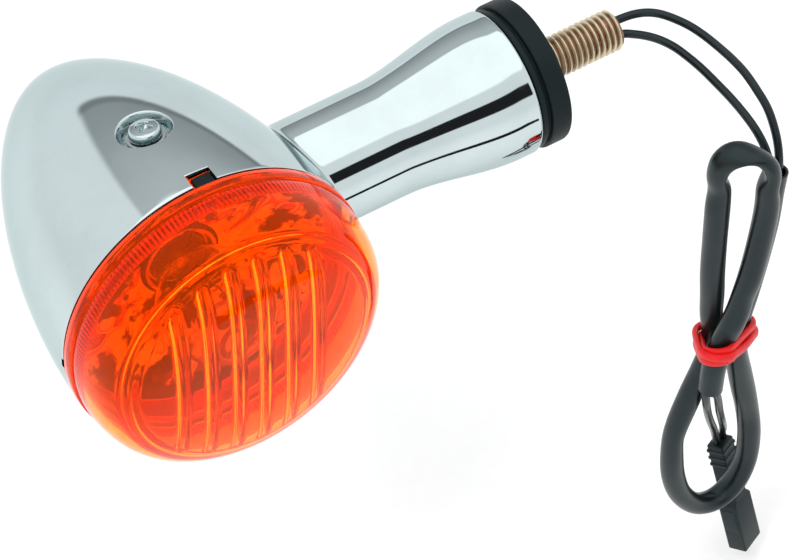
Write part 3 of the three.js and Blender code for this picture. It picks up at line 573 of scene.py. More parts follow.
def passivated(name, crest, valley, root_radius, crest_radius):
    """Yellow zinc on a thread, by the distance from the stud's axis: coppery and darker in the
    valleys, the zinc's own tint with painted shade, and paler and brighter on the crests as a
    painted highlight, with a whitish bloom in patches."""
    made, nodes, place = new_material(name)
    parts = nodes.axes(place)
    squares = [nodes.math("POWER", parts[axis], 2.0) for axis in "YZ"]
    radius = nodes.math("SQRT", nodes.plus(*squares))
    inputs = {"Vector": place, "Smudge Scale": 240.0, "Gloss": 0.24, "Wear": 0.22}
    polish = group_node(nodes, polish_group, inputs)
    uneven = nodes.times(nodes.math("SUBTRACT", polish["Shade"], 0.5), 0.0009)
    height = nodes.ease(nodes.plus(radius, uneven), root_radius * MM, crest_radius * MM)
    # The zinc's coppery tint, with painted shade darkening the valleys and a painted highlight
    # paling the crests.
    colour = nodes.mix(height, linear(valley), linear(crest))
    bloom = nodes.noise(place, 420.0, 3.0)
    patches = nodes.times(nodes.ease(bloom, 0.55, 0.75), 0.5)
    sockets = {
        "Base Color": nodes.mix(patches, colour, linear(BLOOM)),
        "Metallic": 1.0,
        "Roughness": polish["Roughness"],
        "Normal": nodes.bumped(bloom, 0.25, BLOOM_HEIGHT),
    }
    close_material(nodes, sockets)
    return made


def mix_metals(colours):
    """The metals, by the name of the record's material slot. Each has its two shades."""
    plate = [colours.chrome, (0.755, 0.8, 0.805)]
    # The reflector's dark second shade is a painted reflection of the socket, laid in patches of
    # the smudge noise.
    silver_and_painted_reflection = [(0.92, 0.92, 0.9), (0.3, 0.27, 0.25)]
    zinc = [(0.83, 0.84, 0.84), (0.7, 0.71, 0.72)]
    brass = [(0.86, 0.74, 0.45), (0.74, 0.6, 0.33)]
    cast = [(0.66, 0.68, 0.69), (0.55, 0.57, 0.58)]
    wire = [(0.5, 0.5, 0.52), (0.4, 0.4, 0.42)]
    # The stud's crest and valley shades: their hue is the zinc's, their difference in brightness
    # is painted highlight and shade.
    thread = [(0.84, 0.8, 0.69), (0.55, 0.41, 0.33)]
    return {
        "chrome": metal("Chrome plate", plate, 0.035, 0.03, 0.02, edge=(0.7, 0.76, 0.76)),
        # The reflector's sharp-edged dark patches are painted reflections.
        "reflector": metal(
            "Reflector with painted reflections", silver_and_painted_reflection, 0.05, 0.03, ripple=0.1, smudge=95.0, patch=(0.5, 0.56)
        ),
        "plated_stud": passivated("Yellow zinc", *thread, root_radius=4.15, crest_radius=4.85),
        "steel": metal("Bright zinc", zinc, 0.22, 0.18, ripple=0.1, smudge=200.0),
        "brass": metal("Stamped brass", brass, 0.22, 0.2, ripple=0.1, smudge=200.0),
        "zinc_casting": metal("Die cast zinc", cast, 0.42, 0.2, ripple=0.6, smudge=300.0),
        "tungsten": metal("Drawn wire", wire, 0.3, 0.2),
    }


def mix_plastics(colours):
    """The clear pieces, plastics and rubbers, by the name of the record's material slot."""
    ring = [colours.rubber, (0.07, 0.1, 0.105)]
    phenolic = [(0.42, 0.26, 0.15), (0.5, 0.33, 0.2)]
    sleeve = [colours.sleeve, (0.07, 0.1, 0.1)]
    wire = [(0.03, 0.04, 0.045), (0.06, 0.075, 0.08)]
    elastic = [colours.band, (0.8, 0.06, 0.07)]
    nylon = [(0.05, 0.075, 0.08), (0.09, 0.12, 0.125)]
    return {
        "amber_lens": amber("Amber moulding", colours.lens),
        "rubber": moulded("Base rubber", ring, 0.5, 0.5, dust=0.05, shine=0.2),
        "insulator": moulded("Pressed phenolic", phenolic, 0.6, 0.6),
        "bulb_glass": clear_glass("Bulb glass"),
        "sleeve_vinyl": moulded("Sleeve vinyl", sleeve, 0.3, 0.08, 900.0, 0.03, 0.4),
        "wire_insulation": moulded("Wire insulation", wire, 0.26, 0.08, 900.0, 0.03, 0.4),
        "red_rubber": moulded("Elastic band", elastic, 0.42, 0.2, 1200.0, 0.02, 0.25),
        "nylon": moulded("Connector nylon", nylon, 0.42, 0.3, 1500.0, 0.04, 0.3),
    }


# ---- sizes and colours that a user would change ----------------------------------------------


def length_property(name, description, millimetres):
    return FloatProperty(
        name=name,
        description=description,
        default=millimetres * MM,
        min=0.0,
        subtype="DISTANCE",
        unit="LENGTH",
    )


def colour_property(name, description, colour):
    return FloatVectorProperty(
        name=name,
        description=description,
        default=colour,
        size=3,
        min=0.0,
        max=1.0,
        subtype="COLOR_GAMMA",
    )


class IndicatorSizes(bpy.types.PropertyGroup):
    """Sizes of the visible pieces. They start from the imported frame."""

    mouth_radius: length_property(
        "Mouth radius", "Radius of the housing's rim", (HOUSING_HIGH[0] - HOUSING_LOW[0]) / 2
    )
    nose_length: length_property(
        "Nose length", "Rim to the tip of the bullet", HOUSING_HIGH[1] - HOUSING_LOW[1]
    )
    lens_depth: length_property(
        "Lens depth", "Rim to the front of the lens", HOUSING_LOW[1] - LENS_LOW[1]
    )
    tube_radius: length_property("Stalk radius", "Radius of the stalk next to the housing", 13.4)
    tube_end_radius: length_property("Stalk end radius", "Radius of the flared end", 17.4)
    stud_radius: length_property("Stud radius", "Radius over the thread's crests", 5.0)
    thread_pitch: length_property("Thread pitch", "Distance between two crests of the stud", 1.5)
    sleeve_radius: length_property("Sleeve radius", "Radius of the cord's sleeve", 2.9)
    wire_radius: length_property("Wire radius", "Radius of one insulated wire", 1.0)
    flute_pitch: length_property("Flute pitch", "Distance between two flutes of the lens", 6.4)
    flute_count: IntProperty(
        name="Flutes", description="Upright flutes inside the lens", default=6, min=0, max=12
    )

    def mm(self, name):
        """A size in millimetres."""
        return getattr(self, name) / MM


class IndicatorColours(bpy.types.PropertyGroup):
    """Colours of the finishes, as they look on a display."""

    chrome: colour_property("Chrome", "Tint of the polished plate", (0.775, 0.825, 0.83))
    lens: colour_property("Lens", "Amber of the lens", (1.0, 0.53, 0.06))
    rubber: colour_property("Base rubber", "Moulded ring under the stalk", (0.05, 0.08, 0.085))
    sleeve: colour_property("Sleeve", "Vinyl sleeve of the cord", (0.04, 0.06, 0.062))
    band: colour_property("Band", "Elastic band round the cord", (0.86, 0.1, 0.1))


def sizes():
    """The sizes that are set in the sidebar."""
    return bpy.context.scene.indicator_sizes


# ---- housing --------------------------------------------------------------------------------
BULLET_POWERS = (1.79, 1.78)
SHELL_WALL = 2.0
SCREW_BACK = 22.8
RECESS_RADIUS, RECESS_FLOOR, RECESS_DEPTH = 6.25, 5.3, 3.2
HOLE_RADIUS, BOSS_RADIUS, BOSS_DEPTH, HOLE_STOP = 2.3, 7.9, 6.0, 0.15
NOTCH_MIDDLE, NOTCH_WIDTH, NOTCH_LENGTH = 2.4, 5.6, 3.8
SLOT_ANGLE, SLOT_WIDTH, SLOT_LENGTH = -86.0, 2.4, 1.0
RIM_ROUND = 0.2
# Rows nearer the rim than SQUEEZE_TO make room for its notches, and they are closest from
# FINE_FROM to FINE_TO, over the screw's recess.
SQUEEZE_TO, FINE_FROM, FINE_TO = 8.0, 14.5, 31.0
# Columns round the rim: their spacing in shares, where it grows in degrees from the top,
# and how far each column of a pair stands from the side of a cut.
RIM_COLUMNS = 380
FINEST, COARSEST, COARSER_FROM, CUT_SIDE = 0.2, 2.4, (14, 50), 0.02
LEDGE = [[31.1, 6.3], [33.6, 6.3], [33.6, 7.8], [31.1, 7.8]]


def bullet_radius(along, grow=0.0):
    """The bullet's radius at a distance behind its rim, grown outwards or inwards."""
    s = sizes()
    length, radius = s.mm("nose_length") + grow, s.mm("mouth_radius") + grow
    return superellipse(along, length, radius, BULLET_POWERS)


def screw_frame():
    """The housing screw's seat on the surface, its axis, and the direction across it."""
    step = 0.01
    radius, beyond = bullet_radius(np.array([SCREW_BACK, SCREW_BACK + step]))
    tilt = math.atan((radius - beyond) / step)
    axis = np.array([0, math.sin(tilt), math.cos(tilt)])
    across = np.array([0, math.cos(tilt), -math.sin(tilt)])
    return np.array([0, SCREW_BACK, radius]), axis, across


def on_screw_axis(points):
    """From a screw standing on the xy plane to its seat on the housing."""
    seat, axis, across = screw_frame()
    return seat + points @ np.array([[1, 0, 0], across, axis])


def pressed(points, depth_at, blend):
    """Moves points down the screw's axis to the lower of their own height over its seat and
    depth_at(distance from the axis)."""
    seat, axis, across = screw_frame()
    off = points - seat
    distance = np.hypot(off[..., 0], off @ across)
    height = off @ axis
    near = (distance < 2 * RECESS_RADIUS) & (points[..., 2] > 0)
    lower = np.where(near, smaller(height, depth_at(distance), blend), height)
    return points + (lower - height)[..., None] * axis


def recess_depth(distance):
    """A dish: flat floor, then a wall that rises by the recess depth, with a deep hole."""
    wall = (distance - RECESS_FLOOR) / (RECESS_RADIUS - RECESS_FLOOR)
    floor = -RECESS_DEPTH + RECESS_DEPTH * np.clip(wall, 0, None)
    return np.where(distance < HOLE_RADIUS, HOLE_STOP - BOSS_DEPTH, floor)


def boss_depth(distance):
    """A flat boss inside the wall, and no change outside it."""
    return np.where(distance < BOSS_RADIUS, -BOSS_DEPTH, 40.0)


def housing_angles():
    """Angles from +Z towards +X, closer together over the recess and the notch, with a pair
    of columns at each side of a cut in the rim."""
    fine = np.linspace(-180, 180, 20001)
    spacing = FINEST + (COARSEST - FINEST) * smoothstep(np.abs(fine), *COARSER_FROM)
    reached = np.concatenate([[0], np.cumsum(1 / spacing[:-1])])
    reached /= reached[-1]
    angles = np.interp(np.linspace(0, 1, RIM_COLUMNS, endpoint=False), reached, fine)
    edges = []
    for middle, width in rim_cuts():
        edges += [middle - width / 2, middle + width / 2]
    pairs = np.repeat(edges, 2) + np.tile([-CUT_SIDE, CUT_SIDE], len(edges))
    return np.radians(np.sort(np.concatenate([angles, pairs])))


def rim_cuts():
    """Middle and width, in degrees round the rim, of the pry notch and the small slot."""
    radius = sizes().mm("mouth_radius")
    notch_angle = math.degrees(math.asin(NOTCH_MIDDLE / radius))
    return [
        (notch_angle, math.degrees(NOTCH_WIDTH / radius)),
        (SLOT_ANGLE, math.degrees(SLOT_WIDTH / radius)),
    ]


def squeezed(along, lip):
    """Rows up to SQUEEZE_TO behind the rim are moved evenly so that they start at the lip."""
    return np.where(along < SQUEEZE_TO, lip + (SQUEEZE_TO - lip) * along / SQUEEZE_TO, along)


def housing_grid():
    """The bullet: at height y its radius is the superellipse's. The wall runs from the nose
    to the rim outside, rounds over, and runs back inside. The rim lies further back where
    it is notched, and the rows near it are squeezed to suit."""
    length = sizes().mm("nose_length")
    angle = housing_angles()
    front = np.zeros_like(angle)
    for (middle, width), deep in zip(rim_cuts(), (NOTCH_LENGTH, SLOT_LENGTH)):
        front = np.where(np.abs(np.degrees(angle) - middle) < width / 2, deep, front)
    lip = front + RIM_ROUND
    swing = np.arcsin(FINE_TO / length)
    zones = [
        np.linspace(0, SQUEEZE_TO, 14)[1:],
        np.linspace(SQUEEZE_TO, FINE_FROM, 8)[1:],
        np.linspace(FINE_FROM, FINE_TO, 124)[1:],
        length * np.sin(np.linspace(swing, np.pi / 2, 56)[1:]),
    ]
    outer_along = squeezed(np.concatenate(zones)[::-1, None], lip)
    outer_radius = bullet_radius(outer_along)
    inner_nose = (length - SHELL_WALL) * np.sin(np.linspace(swing, np.pi / 2, 24)[1:])
    inner_along = squeezed(np.concatenate([np.linspace(1, FINE_TO, 40), inner_nose])[:, None], lip)
    inner_radius = bullet_radius(inner_along, -SHELL_WALL)
    bend = np.linspace(0, np.pi / 2, 6)[:, None]
    rim_along = front + RIM_ROUND * (1 - np.sin(bend))
    drop = RIM_ROUND * (1 - np.cos(bend))
    rim_outer = bullet_radius(lip) - drop
    rim_inner = (bullet_radius(lip, -SHELL_WALL) + drop)[::-1]
    radius = np.concatenate([outer_radius, rim_outer, rim_inner, inner_radius])
    along = np.concatenate([outer_along, rim_along, rim_along[::-1], inner_along])
    points = on_rings(radius, along, angle)
    outside, inside = len(outer_radius), len(inner_radius)
    points[:outside] = pressed(points[:outside], recess_depth, 0.9)
    points[-inside:] = pressed(points[-inside:], boss_depth, 0.2)
    return points


def ledge_grid():
    """The ring inside the housing that the reflector rests on."""
    return turned(softened(LEDGE, 0.3), 120)


class BuildHousing(bpy.types.Operator):
    """Build the chromed bullet with its dished screw seat and the notches in its rim"""

    bl_idname = "indicator.build_housing"
    bl_label = "Build Housing"

    def execute(self, context):
        surfaces = [around_lamp(housing_grid()), (around_lamp(ledge_grid()), True)]
        piece = put_mesh("housing_shell", surfaces, 40)
        finished(piece, "arm", "chrome", "housing")
        return {"FINISHED"}


# ---- housing screw ----------------------------------------------------------------------------
SCREW_SHANK, SCREW_HEAD, SCREW_HEAD_HEIGHT, SCREW_LENGTH = 2.0, 3.6, 2.3, 11.0
WASHER_SEAT = -2.9
HEAD_SEAT = -1.8
WASHER = [[2.3, 0], [4.3, 0], [4.3, 0.8], [2.3, 0.8]]
HEAD_SHOULDER, HEAD_DROP = 0.75, 1.2
SCREW_PITCH, SCREW_GROOVE = 0.7, 0.42
CROSS_REACH, CROSS_WIDTH, CROSS_DEPTH = 2.05, 0.62, 1.5


def cross_depth(x, y, reach, width, deep):
    """Depth of a cross recess: two grooves with sloping sides, shallower away from the
    middle."""
    distance = np.hypot(x, y)
    along_x = smoothstep(reach - np.abs(x), 0, 0.5) * smoothstep(width - np.abs(y), 0, 0.28)
    along_y = smoothstep(reach - np.abs(y), 0, 0.5) * smoothstep(width - np.abs(x), 0, 0.28)
    slope = deep * (1 - 0.55 * np.clip(distance / reach, 0, 1))
    core = 0.25 * deep * (1 - smoothstep(distance, 0.3, 0.9))
    return np.maximum(along_x, along_y) * slope + core


def pan_screw_grid():
    """A pan head whose top is a shallow dome with a cross recess, over a threaded shank. The
    thread's radius falls by a triangle wave of the distance along less the share of a turn."""
    angle = even_angles(144)
    top_radius = np.linspace(0, SCREW_HEAD - HEAD_SHOULDER, 46)[:, None]
    dome = SCREW_HEAD_HEIGHT - 0.5 * (top_radius / SCREW_HEAD) ** 2
    x, y = top_radius * np.cos(angle), top_radius * np.sin(angle)
    cross = [(x + y) / math.sqrt(2), (x - y) / math.sqrt(2), CROSS_REACH, CROSS_WIDTH, CROSS_DEPTH]
    top = np.stack([x, y, dome - cross_depth(*cross)], -1)
    bend = np.linspace(0, np.pi / 2, 9)[1:, None]
    shoulder_radius = SCREW_HEAD - HEAD_SHOULDER * (1 - np.sin(bend))
    shoulder_height = dome[-1, 0] - HEAD_DROP * (1 - np.cos(bend))
    under_radius = np.array([[SCREW_HEAD], [SCREW_HEAD - 0.08], [SCREW_SHANK + 0.02]])
    under_height = np.array([[0.1], [0.0], [0.0]])
    along = np.linspace(0, SCREW_LENGTH, 150)[:, None]
    phase = (along / SCREW_PITCH - angle / TURN) % 1.0
    groove = SCREW_GROOVE * (1 - np.abs(2 * phase - 1)) * smoothstep(along, 0.4, 1.2)
    taper = 1 - 0.3 * smoothstep(along, SCREW_LENGTH - 0.8, SCREW_LENGTH)
    shank_radius = (SCREW_SHANK - groove) * taper
    even = np.zeros_like(angle)
    radius = np.concatenate([shoulder_radius + even, under_radius + even, shank_radius])
    height = np.concatenate([shoulder_height, under_height, -along]) + even
    rest = np.stack([radius * np.cos(angle), radius * np.sin(angle), height], -1)
    tip = np.broadcast_to([0, 0, -SCREW_LENGTH], (1, angle.size, 3))
    return np.concatenate([top, rest, tip])


def washer_grid():
    """A flat ring with softened edges, turned about the screw's axis."""
    return turned(softened(WASHER, 0.18), 96, "z")


class BuildHousingScrew(bpy.types.Operator):
    """Build the cross-recessed pan head screw on top of the housing, and its washer"""

    bl_idname = "indicator.build_housing_screw"
    bl_label = "Build Housing Screw"

    def execute(self, context):
        screw = pan_screw_grid() + [0, 0, HEAD_SEAT]
        washer = washer_grid() + [0, 0, WASHER_SEAT]
        piece = put_mesh("pan_head_screw", [around_lamp(on_screw_axis(screw))], 32)
        finished(piece, "screw", "chrome", "housing_screw")
        ring = put_mesh("plain_washer", [(around_lamp(on_screw_axis(washer)), True)])
        finished(ring, "washer", "steel", "screw_washer")
        return {"FINISHED"}


# ---- lens -------------------------------------------------------------------------------------
LENS_POWERS = (3.8, 3.6)
LENS_WALL = 2.2
FLANGE_BACK, FLANGE_FRONT = 0.35, 3.5
DOME_SET_IN = 0.35
SKIRT_OUTER, SKIRT_INNER, SKIRT_LENGTH = 33.1, 31.1, 4.5
RIDGE_RADIUS = 28.0
FLUTE_TILT = math.tan(math.radians(4.8))
FLUTE_SHIFT = 1.6
FLUTE_HEIGHT, RIDGE_HEIGHT = 1.15, 1.2
# The pad beside the notch: its middle and half sides, across and ahead of the rim.
PAD_MIDDLE, PAD_HALF, PAD_HEIGHT = (5.5, 5.9), (3.7, 1.7), 0.28
TEETH = 250
# The ring of teeth: place ahead of the rim, radius between the teeth, and their depth.
TEETH_SECTION = [
    [3.7, 32.9, 0.0],
    [4.1, 32.75, 0.42],
    [6.1, 32.7, 0.42],
    [6.6, 32.85, 0.0],
    [6.6, 33.2, 0.0],
    [3.7, 33.2, 0.0],
]
GASKET = [[33.3, -0.3], [35.15, -0.3], [35.15, -0.06], [33.3, -0.06]]


def flute_height(x, z):
    """Thickness added inside the lens: upright rounded flutes within a round ridge."""
    s = sizes()
    pitch, count = s.mm("flute_pitch"), s.flute_count
    across = (x - FLUTE_TILT * z - FLUTE_SHIFT) / pitch
    low, high = -(count // 2), count - count // 2 - 1
    nearest = np.clip(np.round(across), low, high)
    off = np.abs(across - nearest) * pitch
    distance = np.hypot(x, z)
    within_ridge = 1 - smoothstep(distance, RIDGE_RADIUS - 2, RIDGE_RADIUS)
    flutes = FLUTE_HEIGHT * (1 - smoothstep(off, 0.3, 1.75)) * within_ridge
    ridge = RIDGE_HEIGHT * (1 - smoothstep(np.abs(distance - RIDGE_RADIUS), 0.3, 1.8))
    return np.maximum(flutes, ridge)


def lens_grid():
    """A cup: skirt, flange, boxy dome outside, and inside the same dome less the wall, with
    flutes standing on it. Both domes are superellipses of depth and radius."""
    s = sizes()
    depth, mouth = s.mm("lens_depth"), s.mm("mouth_radius")
    angle = even_angles(440)
    dome_radius = mouth - DOME_SET_IN
    swing = np.linspace(0.14, 1, 52)[:, None]
    outer_along = depth * np.sin(np.pi / 2 * swing) ** 0.9
    outer_radius = superellipse(outer_along, depth, dome_radius, LENS_POWERS)
    inner_depth, inner_mouth = depth - LENS_WALL, dome_radius - LENS_WALL
    face = np.linspace(0, 0.88, 84)[:, None] * inner_mouth
    face_along = inner_depth * (1 - (face / inner_mouth) ** LENS_POWERS[1]) ** (1 / LENS_POWERS[0])
    wall_along = np.linspace(face_along[-1, 0], 3.2, 24)[1:, None]
    wall_radius = superellipse(wall_along, inner_depth, inner_mouth, LENS_POWERS)
    edge = 0.3
    skirt = np.array(
        [
            [SKIRT_INNER + 0.2, 3.0],
            [SKIRT_INNER, 2.7],
            [SKIRT_INNER, -SKIRT_LENGTH + edge],
            [SKIRT_INNER + edge / 3, -SKIRT_LENGTH + edge / 3],
            [SKIRT_INNER + edge, -SKIRT_LENGTH],
            [SKIRT_OUTER - edge, -SKIRT_LENGTH],
            [SKIRT_OUTER - edge / 3, -SKIRT_LENGTH + edge / 3],
            [SKIRT_OUTER, -SKIRT_LENGTH + edge],
            [SKIRT_OUTER, FLANGE_BACK],
            [mouth - edge, FLANGE_BACK],
            [mouth - edge / 3, FLANGE_BACK + edge / 3],
            [mouth, FLANGE_BACK + edge],
            [mouth, FLANGE_FRONT - edge],
            [mouth - edge / 3, FLANGE_FRONT - edge / 4],
            [dome_radius + 0.06, FLANGE_FRONT],
            [dome_radius - 0.12, FLANGE_FRONT + 0.12],
            [dome_radius - 0.06, FLANGE_FRONT + 0.4],
        ]
    )
    dome = outer_along[:, 0] > 4.1
    radius = np.concatenate([face, wall_radius, skirt[:, :1], outer_radius[dome]])
    ahead = np.concatenate([face_along, wall_along, skirt[:, 1:], outer_along[dome]])
    x, z = radius * np.sin(angle), radius * np.cos(angle)
    ahead = np.broadcast_to(ahead, x.shape).copy()
    inside = len(face) + len(wall_radius) // 2
    ahead[:inside] -= flute_height(x[:inside], z[:inside])
    scale = 1 + pad_height(x, z, ahead, radius) / np.maximum(radius, 1)
    return np.stack([x * scale, -ahead, z * scale], -1)


def pad_height(x, z, ahead, radius):
    """A low rectangular pad on the outside of the lens, next to the rim's notch."""
    across = smoothstep(PAD_HALF[0] - np.abs(x - PAD_MIDDLE[0]), 0, 0.5)
    along = smoothstep(PAD_HALF[1] - np.abs(ahead - PAD_MIDDLE[1]), 0, 0.4)
    outside = (radius > 34.5) & (z > 0)
    return np.where(outside, PAD_HEIGHT * across * along, 0.0)


def serration_grid():
    """A ring of fine teeth inside the lens wall: its inner radius is a rounded wave of the
    angle, which fades at both edges."""
    angle = even_angles(TEETH * 6)
    ahead, base, deep = np.array(TEETH_SECTION).T[:, :, None]
    return on_rings(base - deep * (0.5 + 0.5 * np.cos(TEETH * angle)), -ahead, angle)


def gasket_grid():
    """A flat ring between lens and rim, turned about the lamp's axis."""
    return turned(softened(GASKET, 0.08), 160)


class BuildLens(bpy.types.Operator):
    """Build the amber lens with its flutes, ridge and serrations, and the gasket behind it"""

    bl_idname = "indicator.build_lens"
    bl_label = "Build Lens"

    def execute(self, context):
        surfaces = [around_lamp(lens_grid()), (around_lamp(serration_grid()), True)]
        piece = put_mesh("amber_lens_cup", surfaces, 50)
        finished(piece, "lens", "amber_lens", "lens")
        notch_pad = round_box([0.6, -0.25, 33.25], [4.9, 3.4, 34.3], 0.2)
        surfaces = [(around_lamp(gasket_grid()), True), around_lamp(notch_pad)]
        gasket = put_mesh("lens_seal", surfaces)
        finished(gasket, "lens", "rubber", "lens_gasket")
        return {"FINISHED"}


# ---- reflector and bulb -----------------------------------------------------------------------
FILAMENT_AT, COIL_TURNS = -1.5, 16
DISH_RADIUS, DISH_HOLE, DISH_FRONT, DISH_DEPTH, DISH_WALL = 31.2, 9.6, 4.8, 10, 1.2
HAMMERED = 0.5


def reflector_grid():
    """A dish with a rolled flange: its face lies DISH_DEPTH times one less the squared share
    of its radius behind the flange. The face is hammered: it stands out by the product of a
    wave round it and one across it."""
    radius = np.linspace(DISH_RADIUS, DISH_HOLE, 80)
    front = DISH_FRONT + DISH_DEPTH * (1 - (radius / DISH_RADIUS) ** 2)
    inner = np.stack([radius, front], -1)
    outer = np.stack([radius, front + DISH_WALL], -1)[::-1]
    rolled_out, rolled_back = [[32.7, 4.9], [32.6, 4.8]], [[32.6, 6.0], [32.7, 5.9]]
    outline = np.vstack([rolled_out, inner, [[9.45, 14.2]], outer, rolled_back])
    grid = turned(outline, 240)
    x, z = grid[..., 0], grid[..., 2]
    turn, reach = np.arctan2(x, z), np.hypot(x, z)
    round_it = np.sin(11 * turn + 1.3 * np.sin(reach / 3.1))
    across_it = np.sin(reach / 2.3 + 1.1 * np.sin(5 * turn))
    inside = smoothstep(reach, 10.5, 13) * (1 - smoothstep(reach, 28.5, 31))
    grid[..., 1] += HAMMERED * round_it * across_it * inside
    return grid


def bulb_glass_grid():
    """A pear: a ball of radius 12.5 mm whose side eases into a straight neck."""
    ball, neck, tip, foot = 12.5, 6.6, -14.0, 22.1
    swing = np.linspace(0, np.pi - math.asin((neck + 1.3) / ball), 40)
    start = np.stack([ball * np.sin(swing), tip + ball * (1 - np.cos(swing))], -1)
    t = np.linspace(0, 1, 12)[1:, None]
    end = np.array([[neck, 14.0]])
    control = np.array([[neck, start[-1, 1] + 1.8]])
    ease = quadratic(start[-1:], control, end, t)
    outside = np.vstack([start, ease, [[neck, foot - 0.3], [neck - 0.3, foot]]])
    inside = np.vstack([[[neck - 0.7, foot - 0.1]], (outside[:-2] - [[0.7, 0]])[::-1]])
    inside = inside[inside[:, 0] > 1.2]
    inside = np.vstack([inside, [[0, tip + 0.7]]])
    inside[-6:-1, 1] += 0.6
    return turned(np.vstack([outside, inside]), 96)


def bulb_cap_grids():
    """The cap with a rolled rim, and its two pins."""
    corners = [
        [6.9, 14.5],
        [7.5, 14.5],
        [7.5, 29.9],
        [6.5, 30.9],
        [0.01, 30.9],
        [0.01, 22.7],
        [6.9, 22.7],
    ]
    cap = turned(softened(corners, [0.2, 0.3, 0.6, 0.4, 0, 0, 0.2]), 128)
    bead = turned(softened([[7.3, 15.6], [7.62, 15.9], [7.62, 16.4], [7.3, 16.7]], 0.15), 128)
    outline = softened([[0.01, 7.0], [1.0, 7.0], [1.0, 8.9], [0.01, 8.9]], [0, 0, 0.3, 0])
    pin = turned(outline, 24, "z") + [0, 23.5, 0]
    return [cap, bead, pin, pin * [-1, 1, -1]]


def helix(radius, rise, turns, steps):
    """A line wound round the x axis at one radius, rising evenly."""
    t = np.linspace(0, 1, steps)[:, None]
    angle = TURN * turns * t
    return np.hstack([rise * (t - 0.5), radius * np.cos(angle), radius * np.sin(angle)])


def filament_grids():
    """Two support wires, the coil between them, and the stem that holds them."""
    coil = helix(0.42, 6.0, COIL_TURNS, COIL_TURNS * 14) + [0, FILAMENT_AT, 0]
    surfaces = [closed_ends(swept(coil, [1.0, 0.3, 0.2], 0.11, 0.11, 8))]
    for side in (1, -1):
        bent = [[3, FILAMENT_AT, 0.35], [3.1, FILAMENT_AT + 2, 0]]
        route = [*bent, [2.2, 9, 0], [1.6, 16.5, 0]]
        path = curve_through(np.array(route) * [side, 1, 1], 0.5)
        surfaces.append(closed_ends(swept(path, [0, 0.1, 1.0], 0.25, 0.25, 10)))
    stem = [[0, 12.2], [1.5, 12.6], [2.4, 14.0], [2.7, 16.0], [5.2, 18.6], [5.2, 19.4], [0, 19.4]]
    surfaces.append(turned(np.array(stem), 48))
    return surfaces


def solder_grid():
    """The blob of solder under the cap: a low dome."""
    dome = np.linspace(0, np.pi / 2, 10)
    rounded = np.stack([2.4 * np.cos(dome), 31.3 + 0.9 * np.sin(dome)], -1)
    return turned(np.vstack([[[0, 31.2]], rounded]), 40)


SPRING_RADIUS, SPRING_WIRE, SPRING_TURNS = 5.6, 0.35, 3.5


def spring_grid():
    """The spring behind the sprung contact: a wire wound evenly around the lamp's axis."""
    low, high = node_box("contact_spring")
    coil = helix(SPRING_RADIUS, high[1] - low[1] - 2 * SPRING_WIRE, SPRING_TURNS, 200)
    coil = coil[:, [2, 0, 1]] + [0, (low[1] + high[1]) / 2 - LAMP[1], 0]
    return closed_ends(swept(coil, [0, 1.0, 0], SPRING_WIRE, SPRING_WIRE, 12))


class BuildBulb(bpy.types.Operator):
    """Build the reflector dish, the bayonet bulb with its glass and filament, and the spring"""

    bl_idname = "indicator.build_bulb"
    bl_label = "Build Reflector and Bulb"

    def execute(self, context):
        dish = put_mesh("reflector_dish", [(around_lamp(reflector_grid()), True)], 50)
        finished(dish, "arm", "reflector", "reflector")
        glass = put_mesh("bulb_envelope", [around_lamp(bulb_glass_grid())], 60)
        finished(glass, "bulb", "bulb_glass", "bulb_glass")
        cap = put_mesh("bayonet_cap", [(around_lamp(grid), True) for grid in bulb_cap_grids()])
        finished(cap, "bulb", "steel", "bulb_cap")
        wires = put_mesh("filament_and_stem", [around_lamp(grid) for grid in filament_grids()])
        finished(wires, "bulb", "tungsten", "bulb_filament")
        solder = put_mesh("solder_contact", [around_lamp(solder_grid())])
        finished(solder, "bulb", "zinc_casting", "bulb_contact")
        spring = put_mesh("wound_spring", [around_lamp(spring_grid())])
        finished(spring, "arm", "steel", "contact_spring")
        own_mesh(spring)
        return {"FINISHED"}


# ---- stalk, base and stud -------------------------------------------------------------------
STALK_WALL, STALK_END, STALK_EDGE, FILLET = 2.2, -7.6, 0.6, 1.3
INNER_START = -60
FLARE_START, FLARE_STOP = -39.4, -11.4
BASE_RADII = {"lip": 16.9, "groove": 16.1, "ring": 17.5}
LIP_BACK, GROOVE_BACK = -5.8, -5.0
STUD_BORE, THREAD_DEPTH, STUD_CHAMFER = 3.1, 0.92, 0.8
PLATE_RADIUS, PLATE_FRONT, PLATE_BACK = 11.0, -10.9, -7.9
FRAME_GAP = 0.2


def stalk_radius(x):
    """Nearly straight, then a smooth step up to the radius of the flared end."""
    s = sizes()
    waist = s.mm("tube_radius") + 0.2 * (x - LAMP[0]) / (FLARE_START - LAMP[0])
    return waist + (s.mm("tube_end_radius") - waist) * smoothstep(x, FLARE_START, FLARE_STOP)


def saddle(radius, angle):
    """The x at which a line along the stalk meets the bullet grown by the gap."""
    y, z = radius * np.sin(angle), radius * np.cos(angle)
    return LAMP[0] + np.sqrt(bullet_radius(y - LAMP[1], FRAME_GAP) ** 2 - z**2)


